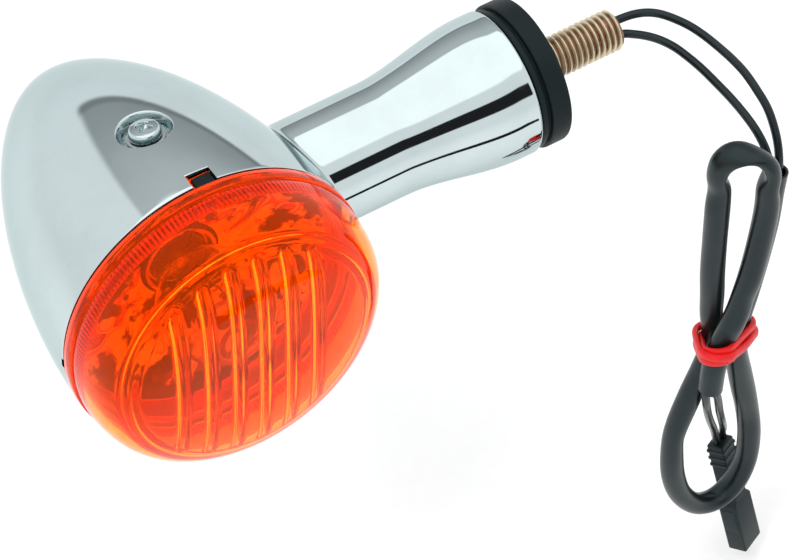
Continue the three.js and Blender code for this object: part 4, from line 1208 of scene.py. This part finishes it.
def stalk_grid():
    """A tube whose inner end follows the bullet's saddle with a small concave fillet, and
    whose outer end is flared and rounded over. Its wall has one thickness."""
    angle = even_angles(192)
    even = np.zeros_like(angle)
    away = FILLET * (1 - np.cos(np.linspace(0.2, np.pi / 2, 8)))[:, None]
    rise = FILLET - np.sqrt(FILLET**2 - (FILLET - away) ** 2)
    foot = stalk_radius(saddle(sizes().mm("tube_radius"), angle)) + rise
    fillet_x = saddle(foot, angle) + away
    share = np.linspace(0, 1, 86)[1:, None]
    tube_x = fillet_x[-1:] + (STALK_END - STALK_EDGE - fillet_x[-1:]) * share
    bend = np.linspace(0, np.pi / 2, 6)[1:, None] + even
    edge_x = STALK_END - STALK_EDGE * (1 - np.sin(bend))
    edge_radius = stalk_radius(STALK_END) - STALK_EDGE * (1 - np.cos(bend))
    inner_start = saddle(stalk_radius(INNER_START) - STALK_WALL, angle)
    inner_x = STALK_END + (inner_start - STALK_END) * np.linspace(0, 1, 24)[:, None]
    inner_radius = stalk_radius(inner_x) - STALK_WALL
    x = np.concatenate([fillet_x, tube_x, edge_x, inner_x])
    radius = np.concatenate([foot + even, stalk_radius(tube_x), edge_radius, inner_radius])
    return on_rings(radius, x, angle, "x")


def base_grid():
    """The rubber ring: a thin lip, a groove, and a thicker ring with a moulded bead."""
    lip, groove, ring = BASE_RADII["lip"], BASE_RADII["groove"], BASE_RADII["ring"]
    hole = sizes().mm("stud_radius") + 0.3
    corners = [
        [hole, BASE_BACK],
        [lip, BASE_BACK],
        [lip, LIP_BACK],
        [groove, LIP_BACK],
        [groove, GROOVE_BACK],
        [ring, GROOVE_BACK],
        [ring, 0],
        [hole + 1.2, 0],
        [hole, -0.6],
    ]
    roundness = [0.2, 0.55, 0.35, 0.2, 0.2, 0.5, 0.7, 0.3, 0.3]
    return turned(softened(corners, roundness), 160, "x")


def stud_grid():
    """A hollow stud: its thread's radius is the crest's less a rounded triangle wave of the
    distance along, less the share of a turn. A cone cuts its end, and a plate closes the
    stalk behind it."""
    s = sizes()
    crest, pitch = s.mm("stud_radius"), s.mm("thread_pitch")
    angle = even_angles(96)
    along = np.linspace(-7.0, STUD_END, 240)[:, None]
    phase = (along / pitch - angle / TURN) % 1.0
    wave = smoothstep(np.abs(2 * phase - 1), 0.08, 0.92)
    cone = crest - np.clip(along - STUD_END + STUD_CHAMFER, 0, None)
    threaded = np.minimum(crest - THREAD_DEPTH * wave * smoothstep(along, -7, -6.4), cone)
    plate = np.array(
        [
            [STUD_BORE, PLATE_FRONT],
            [PLATE_RADIUS - 0.4, PLATE_FRONT],
            [PLATE_RADIUS, PLATE_FRONT + 0.4],
            [PLATE_RADIUS, PLATE_BACK - 0.3],
            [PLATE_RADIUS - 0.3, PLATE_BACK],
            [crest, PLATE_BACK],
        ]
    )
    bore_end = np.array([[STUD_BORE + 0.35, STUD_END], [STUD_BORE, STUD_END - 0.35]])
    even = np.zeros_like(angle)
    radius = np.concatenate([plate[:, :1] + even, threaded, bore_end[:, :1] + even])
    x = np.concatenate([plate[:, 1:], along, bore_end[:, 1:]]) + even
    return on_rings(radius, x, angle, "x")


class BuildStalk(bpy.types.Operator):
    """Build the flared stalk, the rubber base ring and the threaded stud"""

    bl_idname = "indicator.build_stalk"
    bl_label = "Build Stalk and Stud"

    def execute(self, context):
        stalk = put_mesh("stalk_tube", [(stalk_grid(), True)], 40)
        finished(stalk, "arm", "chrome", "stalk")
        base = put_mesh("base_ring", [(base_grid(), True)])
        finished(base, "arm", "rubber", "base_rubber")
        stud = put_mesh("threaded_stud", [(stud_grid(), True)], 48)
        finished(stud, "arm", "plated_stud", "stud")
        return {"FINISHED"}


# ---- cord -------------------------------------------------------------------------------------
# Routes are points along each centre line, in millimetres.
UPPER_WIRE = [
    [22.5, 0.9, 1.1],
    [25.3, 0.8, 1.1],
    [28.2, 0.3, 1.1],
    [30.9, -0.9, 1.1],
    [33, -3, 1.2],
    [34.8, -6.5, 1.4],
    [36.2, -10.3, 1.5],
    [37.2, -14.5, 1.4],
    [38, -18.8, 1],
    [38.8, -23.2, 0.2],
    [39.5, -27.3, -1.2],
    [39.9, -31.4, -3.4],
    [40.3, -34.9, -6.2],
    [40, -38.1, -9.4],
    [39.2, -41, -12.8],
    [38.2, -43, -16.9],
]
LOWER_WIRE = [
    [22.5, -1, -1.4],
    [24.4, -1.4, -1.6],
    [26.3, -2.4, -2],
    [28.6, -4.2, -2.4],
    [30.6, -6.6, -2.8],
    [32.2, -9.9, -3.2],
    [33.2, -14, -3.6],
    [33.9, -18.6, -4],
    [34.3, -23.5, -4.5],
    [34.7, -28.4, -5.2],
    [35, -32.7, -6.2],
    [35.3, -36.5, -7.7],
    [35.6, -39.3, -9.8],
    [35.8, -41.6, -12.8],
    [35.7, -43.3, -16.9],
]
SLEEVE = [
    [37, -43.5, -17.5],
    [36.1, -43.5, -23.3],
    [35.1, -43.5, -32.1],
    [32.9, -43.5, -43.1],
    [30.4, -43.5, -53.4],
    [27.2, -43.9, -64.1],
    [27.2, -43.6, -72.5],
    [28.9, -43.5, -83.1],
    [31.1, -43.5, -96.7],
    [32.3, -43.5, -109],
    [31.2, -43.5, -119],
    [27.8, -43.5, -125.4],
    [22.6, -43.5, -127.8],
    [17.2, -43.5, -125.9],
    [12.6, -43.5, -119.5],
    [10, -43.5, -110.2],
    [9.6, -43.5, -100.2],
    [11.2, -43.5, -90.6],
    [14.5, -43.5, -81.9],
    [18.1, -43.5, -74.3],
    [20.8, -43.6, -66.4],
    [20.6, -43.5, -54.7],
    [20.2, -43.5, -43],
    [20.6, -43.5, -30.7],
    [21.2, -43.5, -19],
    [21.5, -43.5, -8],
    [22.1, -44, -5.3],
    [23.7, -45.1, -3.3],
    [25.9, -46.7, -2.6],
    [28.1, -48.3, -3.3],
    [29.7, -49.5, -5.3],
    [30.3, -49.9, -8],
    [30.3, -49.9, -14.6],
    [29.9, -49.9, -21],
    [28.3, -49.9, -30.7],
    [26.1, -49.9, -40.7],
    [23.6, -49.9, -49.4],
    [20.9, -49.9, -55.8],
    [18.4, -49.9, -61],
    [16.7, -49.9, -66.5],
    [15.8, -49.9, -73.7],
]
TAIL_LEFT = [
    [14.5, -49.9, -74.4],
    [15.3, -49.1, -79.8],
    [18, -46.1, -88.7],
    [21.8, -42, -98.8],
    [26.2, -37.2, -109.6],
    [29.5, -34.1, -120],
]
TAIL_RIGHT = [
    [17.1, -49.9, -74.4],
    [18.5, -49.1, -80],
    [21.4, -46, -90],
    [25.4, -41.6, -101],
    [29.6, -36.4, -112],
    [31.9, -33.1, -120],
]
# Each wire's frame node: its hidden start, its route, and its hidden end. What is hidden
# lies inside the stud, the sleeve or the connector.
WIRES = {
    "wire_upper": ([[11, 0.9, 1.1]], UPPER_WIRE, [[37.5, -43.4, -22], [36.7, -43.4, -27]]),
    "wire_lower": ([[11, -1, -1.4]], LOWER_WIRE, [[35.1, -43.5, -22], [34.4, -43.5, -27]]),
    "tail_left": ([[15.5, -49.9, -66], [14.9, -49.9, -70.4]], TAIL_LEFT, [[29.75, -34.9, -123]]),
    "tail_right": ([[17.9, -49.9, -66], [17.3, -49.9, -70.4]], TAIL_RIGHT, [[32.1, -33.9, -123]]),
}
TOP_FOLD = np.array([25.9, -46.7, -2.6])
LOW_LOOP = np.array([22.6, -43.5, -127.8])
SLEEVE_BORE, SLEEVE_END_DEPTH, SLEEVE_STEP = 2.35, 12.0, 0.7
WIRE_STEP = 0.8


def wire_grid(points):
    """A round tube along the route, closed at both ends."""
    path = curve_through(points, WIRE_STEP)
    radius = sizes().mm("wire_radius")
    return closed_ends(swept(path, [-1, -1, 1], radius, radius, 20)), path


def sleeve_section(path):
    """Half widths of the sleeve in the plane of the hank and square to it. It is pressed
    flat at the kink on top, less so in the lower loop, and wavers a little on its way."""
    radius = sizes().mm("sleeve_radius")
    to_fold = np.linalg.norm(path - TOP_FOLD, axis=1)
    to_loop = np.linalg.norm(path - LOW_LOOP, axis=1)
    length = length_along(path)
    waver = 0.03 * np.sin(length / 9.0) + 0.02 * np.sin(length / 3.7 + 1.0)
    fold = np.exp(-((to_fold / 6.5) ** 2))
    loop = np.exp(-((to_loop / 14.0) ** 2))
    inner = radius * (1 + waver - 0.48 * fold - 0.12 * loop)
    outer = radius * (1 - waver + 0.24 * fold + 0.08 * loop)
    return inner, outer


# Where the sleeve is kinked: place, way in, depth and reach in millimetres.
SLEEVE_DENTS = [
    ((23.5, -44.5, -9.5), (-0.9, -0.1, 0.45), 2.1, 2.6),
    ((28.3, -48.6, -9.0), (0.9, -0.2, 0.4), 2.0, 2.6),
    ((25.9, -46.7, -6.4), (0.1, 0.0, 1.0), 1.6, 3.0),
    ((18.9, -43.5, -14.0), (1.0, 0.0, 0.1), 0.9, 3.2),
    ((32.6, -50.5, -13.0), (-1.0, 0.2, 0.0), 0.7, 3.0),
    ((23.0, -43.5, -55.0), (-1.0, 0.0, 0.0), 0.8, 5.0),
    ((19.5, -52.0, -58.0), (0.5, 1.0, 0.0), 0.9, 3.5),
    ((25.0, -52.0, -47.0), (0.0, 1.0, 0.2), 0.5, 4.0),
    ((13.0, -45.5, -95.0), (-0.6, 0.8, 0.0), 0.6, 5.0),
    ((29.5, -45.6, -100.0), (0.6, 0.8, 0.0), 0.6, 6.0),
    ((22.5, -43.5, -124.6), (0.0, 0.0, -1.0), 0.9, 5.0),
]


def dented(points):
    """Pushes the surface in at each kink by its depth times a bell of the distance."""
    for place, way, deep, reach in SLEEVE_DENTS:
        off = points - np.asarray(place)
        bell = np.exp(-(off**2).sum(-1) / reach**2)
        inwards = np.asarray(way) / np.linalg.norm(way)
        points = points + (deep * bell)[..., None] * inwards
    return points


def sleeve_grid():
    """A tube along its route, open at both ends for the length that shows: the rows run down
    the outside and turn in over the cut ends."""
    path = curve_through(SLEEVE, SLEEVE_STEP)
    inner, outer = sleeve_section(path)
    wall = swept(path, [0, 1, 0], inner, outer, 48)
    depth = int(SLEEVE_END_DEPTH / SLEEVE_STEP)
    share = SLEEVE_BORE / sizes().mm("sleeve_radius")
    bore = swept(path, [0, 1, 0], inner * share, outer * share, 48)
    first, last = bore[: depth + 1][::-1], bore[-depth - 1 :][::-1]
    rows = np.concatenate([first, dented(wall), last])
    return closed_ends(rows), path


BAND_STRANDS = [[27.2, -43.9], [20.9, -43.7], [18.0, -49.5]]
BAND_HEIGHT, BAND_TURNS, BAND_STEP_OUT = -64.0, 3, 0.75
BAND_SLANT = [0.464, 0.886, 0]


def band_loop():
    """The line round three strands that touch: for each direction it is the strand that lies
    furthest that way, and a strand's radius beyond its middle."""
    strands = np.array(BAND_STRANDS)
    reach = sizes().mm("sleeve_radius") + BAND_STEP_OUT
    turn = even_angles(720)[0]
    way = np.stack([np.cos(turn), np.sin(turn)], -1)
    flat = strands[np.argmax(way @ strands.T, axis=1)] + reach * way
    closed = np.vstack([flat, flat[:1]])
    loop = np.hstack([closed, np.full((len(closed), 1), BAND_HEIGHT)])
    return resampled(loop, 0.4)[:-1]


def band_grid():
    """Three turns of one flat elastic: a point at turn t sits on the loop, raised by the
    cosine of t / 3 and pushed out by its sine, so that it closes on itself. The whole band
    slants down to one side."""
    loop = band_loop()
    off = np.tile(loop - loop.mean(0), (BAND_TURNS, 1))
    t = np.linspace(0, TURN, len(off), endpoint=False)
    out = off * [1, 1, 0]
    out /= np.linalg.norm(out, axis=1, keepdims=True)
    rise = 2.1 * np.cos(t) + 0.25 * np.sin(2 * t + 0.5) - 0.5 * (off @ BAND_SLANT)
    push = BAND_STEP_OUT * (0.4 + np.sin(t))
    path = loop.mean(0) + off + out * push[:, None] + rise[:, None] * [0, 0, 1]
    wrapped = np.vstack([path[-3:], path, path[:3]])
    return swept(wrapped, [0, 0, 1], 0.72, 1.12, 18, 2.8)[3:-3]


# ---- connector --------------------------------------------------------------------------------
CONNECTOR_TOP = np.array([30.7, -33.6, -121])
CONNECTOR_AXIS = np.array([0.059, -0.274, -0.96])
CONNECTOR_AXIS /= np.linalg.norm(CONNECTOR_AXIS)
CONNECTOR_FACE = [-0.888, -0.46, 0]
NECK_LENGTH, CONNECTOR_LENGTH = 19.0, 34.0
NECK_HALF, HEAD_HALF, CAVITY_HALF = (2.7, 2.3), (3.9, 2.6), (3.15, 1.6)


def in_connector(points):
    """From the connector's own axes, with z towards its mating end, to the part's frame."""
    facing = -np.cross(CONNECTOR_FACE, CONNECTOR_AXIS)
    facing /= np.linalg.norm(facing)
    wide = np.cross(facing, CONNECTOR_AXIS)
    wide /= np.linalg.norm(wide)
    basis = np.stack([wide, np.cross(CONNECTOR_AXIS, wide), CONNECTOR_AXIS])
    return points @ basis + CONNECTOR_TOP


def connector_body():
    """Rounded rectangles stacked along the connector: neck, a sloping shoulder, head, the end
    face, and back down the recess for the two contacts. Each is its half sides, how far it is
    drawn in, its corner radius and its place along."""
    neck, head, hole = NECK_HALF, HEAD_HALF, CAVITY_HALF
    stack = [
        (neck, 0.35, 0.35, 0.0),
        (neck, 0.1, 0.35, 0.12),
        (neck, 0.0, 0.35, 0.35),
        (neck, 0.0, 0.35, NECK_LENGTH - 1.2),
        (neck, -0.15, 0.4, NECK_LENGTH - 0.8),
        (head, 0.25, 0.45, NECK_LENGTH + 0.1),
        (head, 0.0, 0.45, NECK_LENGTH + 0.6),
        (head, 0.0, 0.45, CONNECTOR_LENGTH - 0.3),
        (head, 0.08, 0.4, CONNECTOR_LENGTH - 0.08),
        (head, 0.3, 0.4, CONNECTOR_LENGTH),
        (hole, -0.15, 0.3, CONNECTOR_LENGTH),
        (hole, 0.0, 0.2, CONNECTOR_LENGTH - 0.2),
        (hole, 0.0, 0.2, CONNECTOR_LENGTH - 11.0),
    ]
    outlines = [
        corner_outline(np.array(half) - inset - edge, edge, 7) for half, inset, edge, _ in stack
    ]
    return stacked(outlines, [height for *_, height in stack])


# Boxes on the connector: low corner, high corner and edge radius. The web between its
# cavities, the latch's tongue with its hook and its root, and three ribs on the neck.
CONNECTOR_BOXES = [
    ([-0.45, -1.75, 23.4], [0.45, 1.75, 33.7], 0.1),
    ([-1.2, 2.3, 17.2], [1.2, 3.0, 32.2], 0.25),
    ([-1.2, 2.5, 30.0], [1.2, 3.5, 33.0], 0.3),
    ([-1.7, 2.2, 26.2], [1.7, 2.9, 27.2], 0.2),
    ([-2.98, -2.56, 1.4], [2.98, 2.56, 2.3], 0.25),
    ([-2.98, -2.56, 3.6], [2.98, 2.56, 4.5], 0.25),
    ([-2.98, -2.56, 5.8], [2.98, 2.56, 6.7], 0.25),
]


def connector_grids():
    """The body, its boxes, a window frame on the neck and a rib down each side of the head."""
    made = [connector_body()]
    made += [round_box(*box) for box in CONNECTOR_BOXES]
    for side in (-1, 1):
        window, rib, bar = side * 1.9, side * 3.7, 12.2 + side * 2.8
        made.append(round_box([window - 0.3, 1.9, 9.2], [window + 0.3, 2.62, 15.2], 0.2))
        made.append(round_box([-2.1, 1.9, bar], [2.1, 2.62, bar + 0.5], 0.2))
        made.append(round_box([rib - 0.35, -1.9, 20.6], [rib + 0.35, 1.9, 27.5], 0.25))
    return made


def terminal_grids(side):
    """A rolled contact: a flat blade with a curled edge at each side."""
    middle = side * 1.8
    made = [round_box([middle - 0.85, -0.2, 23.5], [middle + 0.85, 0.15, 31.2], 0.12)]
    for curl in (middle - 0.72, middle + 0.72):
        made.append(round_box([curl - 0.2, -0.42, 23.6], [curl + 0.2, 0.42, 29.5], 0.18))
    return made


class BuildCord(bpy.types.Operator):
    """Build the wires, their sleeve folded into a hank, its elastic band and the connector"""

    bl_idname = "indicator.build_cord"
    bl_label = "Build Cord and Connector"

    def execute(self, context):
        grids = [in_connector(grid) for grid in connector_grids()]
        connector = put_mesh("two_way_connector", grids)
        finished(connector, "arm", "nylon", "connector_housing")
        for name, side in (("left", -1), ("right", 1)):
            grids = [in_connector(grid) for grid in terminal_grids(side)]
            contact = put_mesh("contact_blade_" + name, grids)
            finished(contact, "arm", "brass", "terminal_" + name)
        sleeve_mesh, sleeve_path = sleeve_grid()
        sleeve = put_mesh("vinyl_sleeve", [sleeve_mesh], 50)
        finished(sleeve, "arm", "sleeve_vinyl", "cord_sleeve")
        for name, (start, route, stop) in WIRES.items():
            grid, path = wire_grid(start + route + stop)
            wire = put_mesh("lead_" + name, [grid])
            finished(wire, "arm", "wire_insulation", name)
        band = put_mesh("elastic_band", [(band_grid(), True)], 60)
        finished(band, "arm", "red_rubber", "tie_band")
        return {"FINISHED"}


# ---- pieces that keep their frame shape ------------------------------------------------------


class FinishInnerPieces(bpy.types.Operator):
    """Give the frame's own pieces, such as the socket and its bracket, their finishes"""

    bl_idname = "indicator.finish_inner_pieces"
    bl_label = "Finish Inner Pieces"

    def execute(self, context):
        for subpart in frame["record"]["subparts"]:
            piece = bpy.data.objects[subpart["node"]]
            piece.data.materials.clear()
            piece.data.materials.append(MATERIALS[subpart["material_slot"]])
        return {"FINISHED"}


# ---- stage ------------------------------------------------------------------------------------
# The camera's place in metres and its own three axes, as unit vectors.
CAMERA_PLACE = (-0.2754074, -0.4543060, 0.5376598)
CAMERA_RIGHT = (0.8538860, -0.5175918, -0.0545652)
CAMERA_UP = (0.4213707, 0.6259690, 0.6562085)
CAMERA_BACK = (-0.3054920, -0.5833194, 0.7526042)
# The studio, in degrees over the horizon or round to a side, and its tones.
CEILING_EDGE = (46.5, 51)
WALL_SIDE, WALL_LEVELS, WALL_SLANT = (48, 62), (11.5, 49), 0.72
SKIRTING_LEVELS = (11.5, 14.5)
PANEL_SIDES, PANEL_LEVELS = (-12, 26), (12, 30)
# What rays that have passed the lens meet in place of the studio: a light and a dark room.
LENS_LIGHT_EDGE, LENS_ROOM_SIDES, LENS_ROOM_LEVELS = (42, 50), (-80, 85), (-2, 44)
TONES = {
    "plain": (1.05, 1.06, 1.07, 1),
    "ceiling": (1.55, 1.55, 1.55, 1),
    "wall_foot": (0.42, 0.43, 0.44, 1),
    "wall_top": (0.68, 0.69, 0.7, 1),
    "skirting": (0.3, 0.31, 0.32, 1),
    "panel": (0.02, 0.02, 0.022, 1),
    "lens_light": (3.4, 3.4, 3.4, 1),
    "lens_room": (0.03, 0.03, 0.03, 1),
    "backdrop": (1.05, 1.05, 1.05, 1),
}
FLOOR_REACH, FLOOR_DROP, CARD_DROP = 6, 0.006, 0.005
CARD_LOW, CARD_HIGH = (-0.05, -0.354), (0.13, -0.286)


def place_camera():
    """A long lens that looks down on the indicator from the lens's side."""
    camera = bpy.data.cameras.new("Camera")
    camera.lens, camera.sensor_width = 150.84, 36.0
    camera.clip_start, camera.clip_end = 0.01, 20.0
    holder = bpy.data.objects.new("Camera", camera)
    sides = [(*side, 0.0) for side in (CAMERA_RIGHT, CAMERA_UP, CAMERA_BACK)]
    holder.matrix_world = Matrix([*sides, (*CAMERA_PLACE, 1.0)]).transposed()
    bpy.context.scene.collection.objects.link(holder)
    bpy.context.scene.camera = holder


def studio_world():
    """A plain studio by direction: a bright ceiling, a grey back wall with a slanting edge,
    a dark panel low in front, and an even light tone elsewhere. Angles are in degrees: level
    over the horizon, and from the +Y side or the -Y side towards +X."""
    world = bpy.data.worlds.new("Studio")
    world.use_nodes = True
    nodes = Nodes(world.node_tree)
    parts = nodes.axes(nodes.add("ShaderNodeTexCoord").outputs["Generated"])

    def degrees(operation, *values):
        return nodes.times(nodes.math(operation, *values), 180 / math.pi)

    level = degrees("ARCSINE", parts["Z"])
    behind = degrees("ARCTAN2", parts["X"], parts["Y"])
    ahead = degrees("ARCTAN2", parts["X"], nodes.times(parts["Y"], -1.0))

    def band(value, start, stop, soft):
        rise = nodes.ease(value, start - soft, start + soft)
        return nodes.times(rise, nodes.ease(value, stop - soft, stop + soft, 1.0, 0.0))

    slant = nodes.times(nodes.math("SUBTRACT", level, 13.0), WALL_SLANT)
    past_slant = nodes.ease(nodes.plus(behind, slant), -2.5, 2.5)
    wall = nodes.times(past_slant, nodes.ease(behind, *WALL_SIDE, 1.0, 0.0))
    wall = nodes.times(wall, band(level, *WALL_LEVELS, 1.5))
    skirting = nodes.times(wall, band(level, *SKIRTING_LEVELS, 1.0))
    panel = nodes.times(band(ahead, *PANEL_SIDES, 2.0), band(level, *PANEL_LEVELS, 0.8))
    tone = nodes.mix(nodes.ease(level, *CEILING_EDGE), TONES["plain"], TONES["ceiling"])
    shade = nodes.mix(nodes.ease(level, 13, 47), TONES["wall_foot"], TONES["wall_top"])
    tone = nodes.mix(wall, tone, shade)
    tone = nodes.mix(skirting, tone, TONES["skirting"])
    tone = nodes.mix(panel, tone, TONES["panel"])
    rays = nodes.add("ShaderNodeLightPath").outputs
    through = nodes.math("GREATER_THAN", rays["Transmission Depth"], 0.5)
    lamp = nodes.times(nodes.ease(level, *LENS_LIGHT_EDGE), through)
    room = nodes.times(band(ahead, *LENS_ROOM_SIDES, 4.0), band(level, *LENS_ROOM_LEVELS, 2.0))
    tone = nodes.mix(lamp, tone, TONES["lens_light"])
    tone = nodes.mix(nodes.times(room, through), tone, TONES["lens_room"])
    tone = nodes.mix(rays["Is Camera Ray"], tone, TONES["backdrop"])
    lit = nodes.add("ShaderNodeBackground", {"Color": tone, "Strength": 1.0})
    nodes.add("ShaderNodeOutputWorld", {"Surface": lit.outputs[0]})
    bpy.context.scene.world = world


def flat_sheet(name, low, high, drop, material):
    """A level rectangle of the stage, a little below the indicator's lowest point."""
    mesh = bpy.data.meshes.new(name)
    corners = [(low[0], low[1]), (high[0], low[1]), (high[0], high[1]), (low[0], high[1])]
    height = FRAME_BOX[0][2] - drop
    mesh.from_pydata([(x, y, height) for x, y in corners], [], [(0, 1, 2, 3)])
    mesh.materials.append(material)
    sheet = bpy.data.objects.new(name, mesh)
    bpy.context.scene.collection.objects.link(sheet)
    return sheet


def paper(name, scale, detail, tones, roughness, shine):
    """Card or paper whose grey changes a little with its grain."""
    made, nodes, place = new_material(name)
    low, high = ((tone, tone, tone, 1) for tone in tones)
    tint = nodes.mix(nodes.noise(place, scale, detail), low, high)
    sockets = {"Base Color": tint, "Roughness": roughness, "Specular IOR Level": shine}
    close_material(nodes, sockets)
    return made


def lay_floor():
    """A wide sheet of pale paper under everything."""
    made = paper("Studio paper", 300.0, 4.0, (0.88, 0.91), 0.9, 0.1)
    corner = (FLOOR_REACH, FLOOR_REACH)
    flat_sheet("floor", (-FLOOR_REACH, -FLOOR_REACH), corner, FLOOR_DROP, made)


def hang_dark_card():
    """A dark card that only reflections see, for the second dark line along the stalk."""
    made = paper("Dark card", 80.0, 2.0, (0.01, 0.02), 1.0, 0.0)
    card = flat_sheet("dark_card", CARD_LOW, CARD_HIGH, CARD_DROP, made)
    for rays in ("camera", "diffuse", "shadow", "transmission"):
        setattr(card, "visible_" + rays, False)


def soft_light(name, place, size, watts):
    """A round soft light that faces the indicator and shows in no reflection."""
    light = bpy.data.lights.new(name, "AREA")
    light.shape, light.size, light.energy = "DISK", size, watts
    holder = bpy.data.objects.new(name, light)
    away = Vector(place)
    facing = away.to_track_quat("Z", "Y").to_matrix().to_4x4()
    holder.matrix_world = Matrix.Translation(away) @ facing
    holder.visible_glossy = holder.visible_camera = False
    bpy.context.scene.collection.objects.link(holder)


class SetStage(bpy.types.Operator):
    """Place the camera, the pale floor, the lights and the studio round the indicator"""

    bl_idname = "indicator.set_stage"
    bl_label = "Set Stage"

    def execute(self, context):
        place_camera()
        studio_world()
        lay_floor()
        hang_dark_card()
        soft_light("key_light", (-0.7, -0.35, 1.2), 0.5, 5.0)
        context.scene.view_settings.view_transform = "Standard"
        return {"FINISHED"}


class MixFinishes(bpy.types.Operator):
    """Mix every finish from the colours in the sidebar"""

    bl_idname = "indicator.mix_finishes"
    bl_label = "Mix Finishes"

    def execute(self, context):
        colours = context.scene.indicator_colours
        MATERIALS.update(mix_metals(colours))
        MATERIALS.update(mix_plastics(colours))
        return {"FINISHED"}


# ---- add-on -----------------------------------------------------------------------------------
OPERATORS = [
    SetStage,
    MixFinishes,
    BuildCord,
    BuildHousing,
    BuildHousingScrew,
    BuildLens,
    BuildBulb,
    BuildStalk,
    FinishInnerPieces,
]


class IndicatorPanel(bpy.types.Panel):
    """Sizes, colours and the operators that build the indicator"""

    bl_idname = "VIEW3D_PT_indicator"
    bl_label = "Turn Signal Indicator"
    bl_space_type = "VIEW_3D"
    bl_region_type = "UI"
    bl_category = "Indicator"

    def draw(self, context):
        for group in (context.scene.indicator_sizes, context.scene.indicator_colours):
            box = self.layout.box()
            for name in group.bl_rna.properties.keys():
                if name not in ("rna_type", "name"):
                    box.prop(group, name)
        for operator in OPERATORS:
            self.layout.operator(operator.bl_idname)


CLASSES = [IndicatorSizes, IndicatorColours, *OPERATORS, IndicatorPanel]


def register():
    for item in CLASSES:
        bpy.utils.register_class(item)
    bpy.types.Scene.indicator_sizes = PointerProperty(type=IndicatorSizes)
    bpy.types.Scene.indicator_colours = PointerProperty(type=IndicatorColours)


def unregister():
    del bpy.types.Scene.indicator_sizes
    del bpy.types.Scene.indicator_colours
    for item in reversed(CLASSES):
        bpy.utils.unregister_class(item)


def main():
    """Builds everything in order."""
    register()
    for operator in OPERATORS:
        group, action = operator.bl_idname.split(".")
        getattr(getattr(bpy.ops, group), action)()


if __name__ == "__main__":
    main()
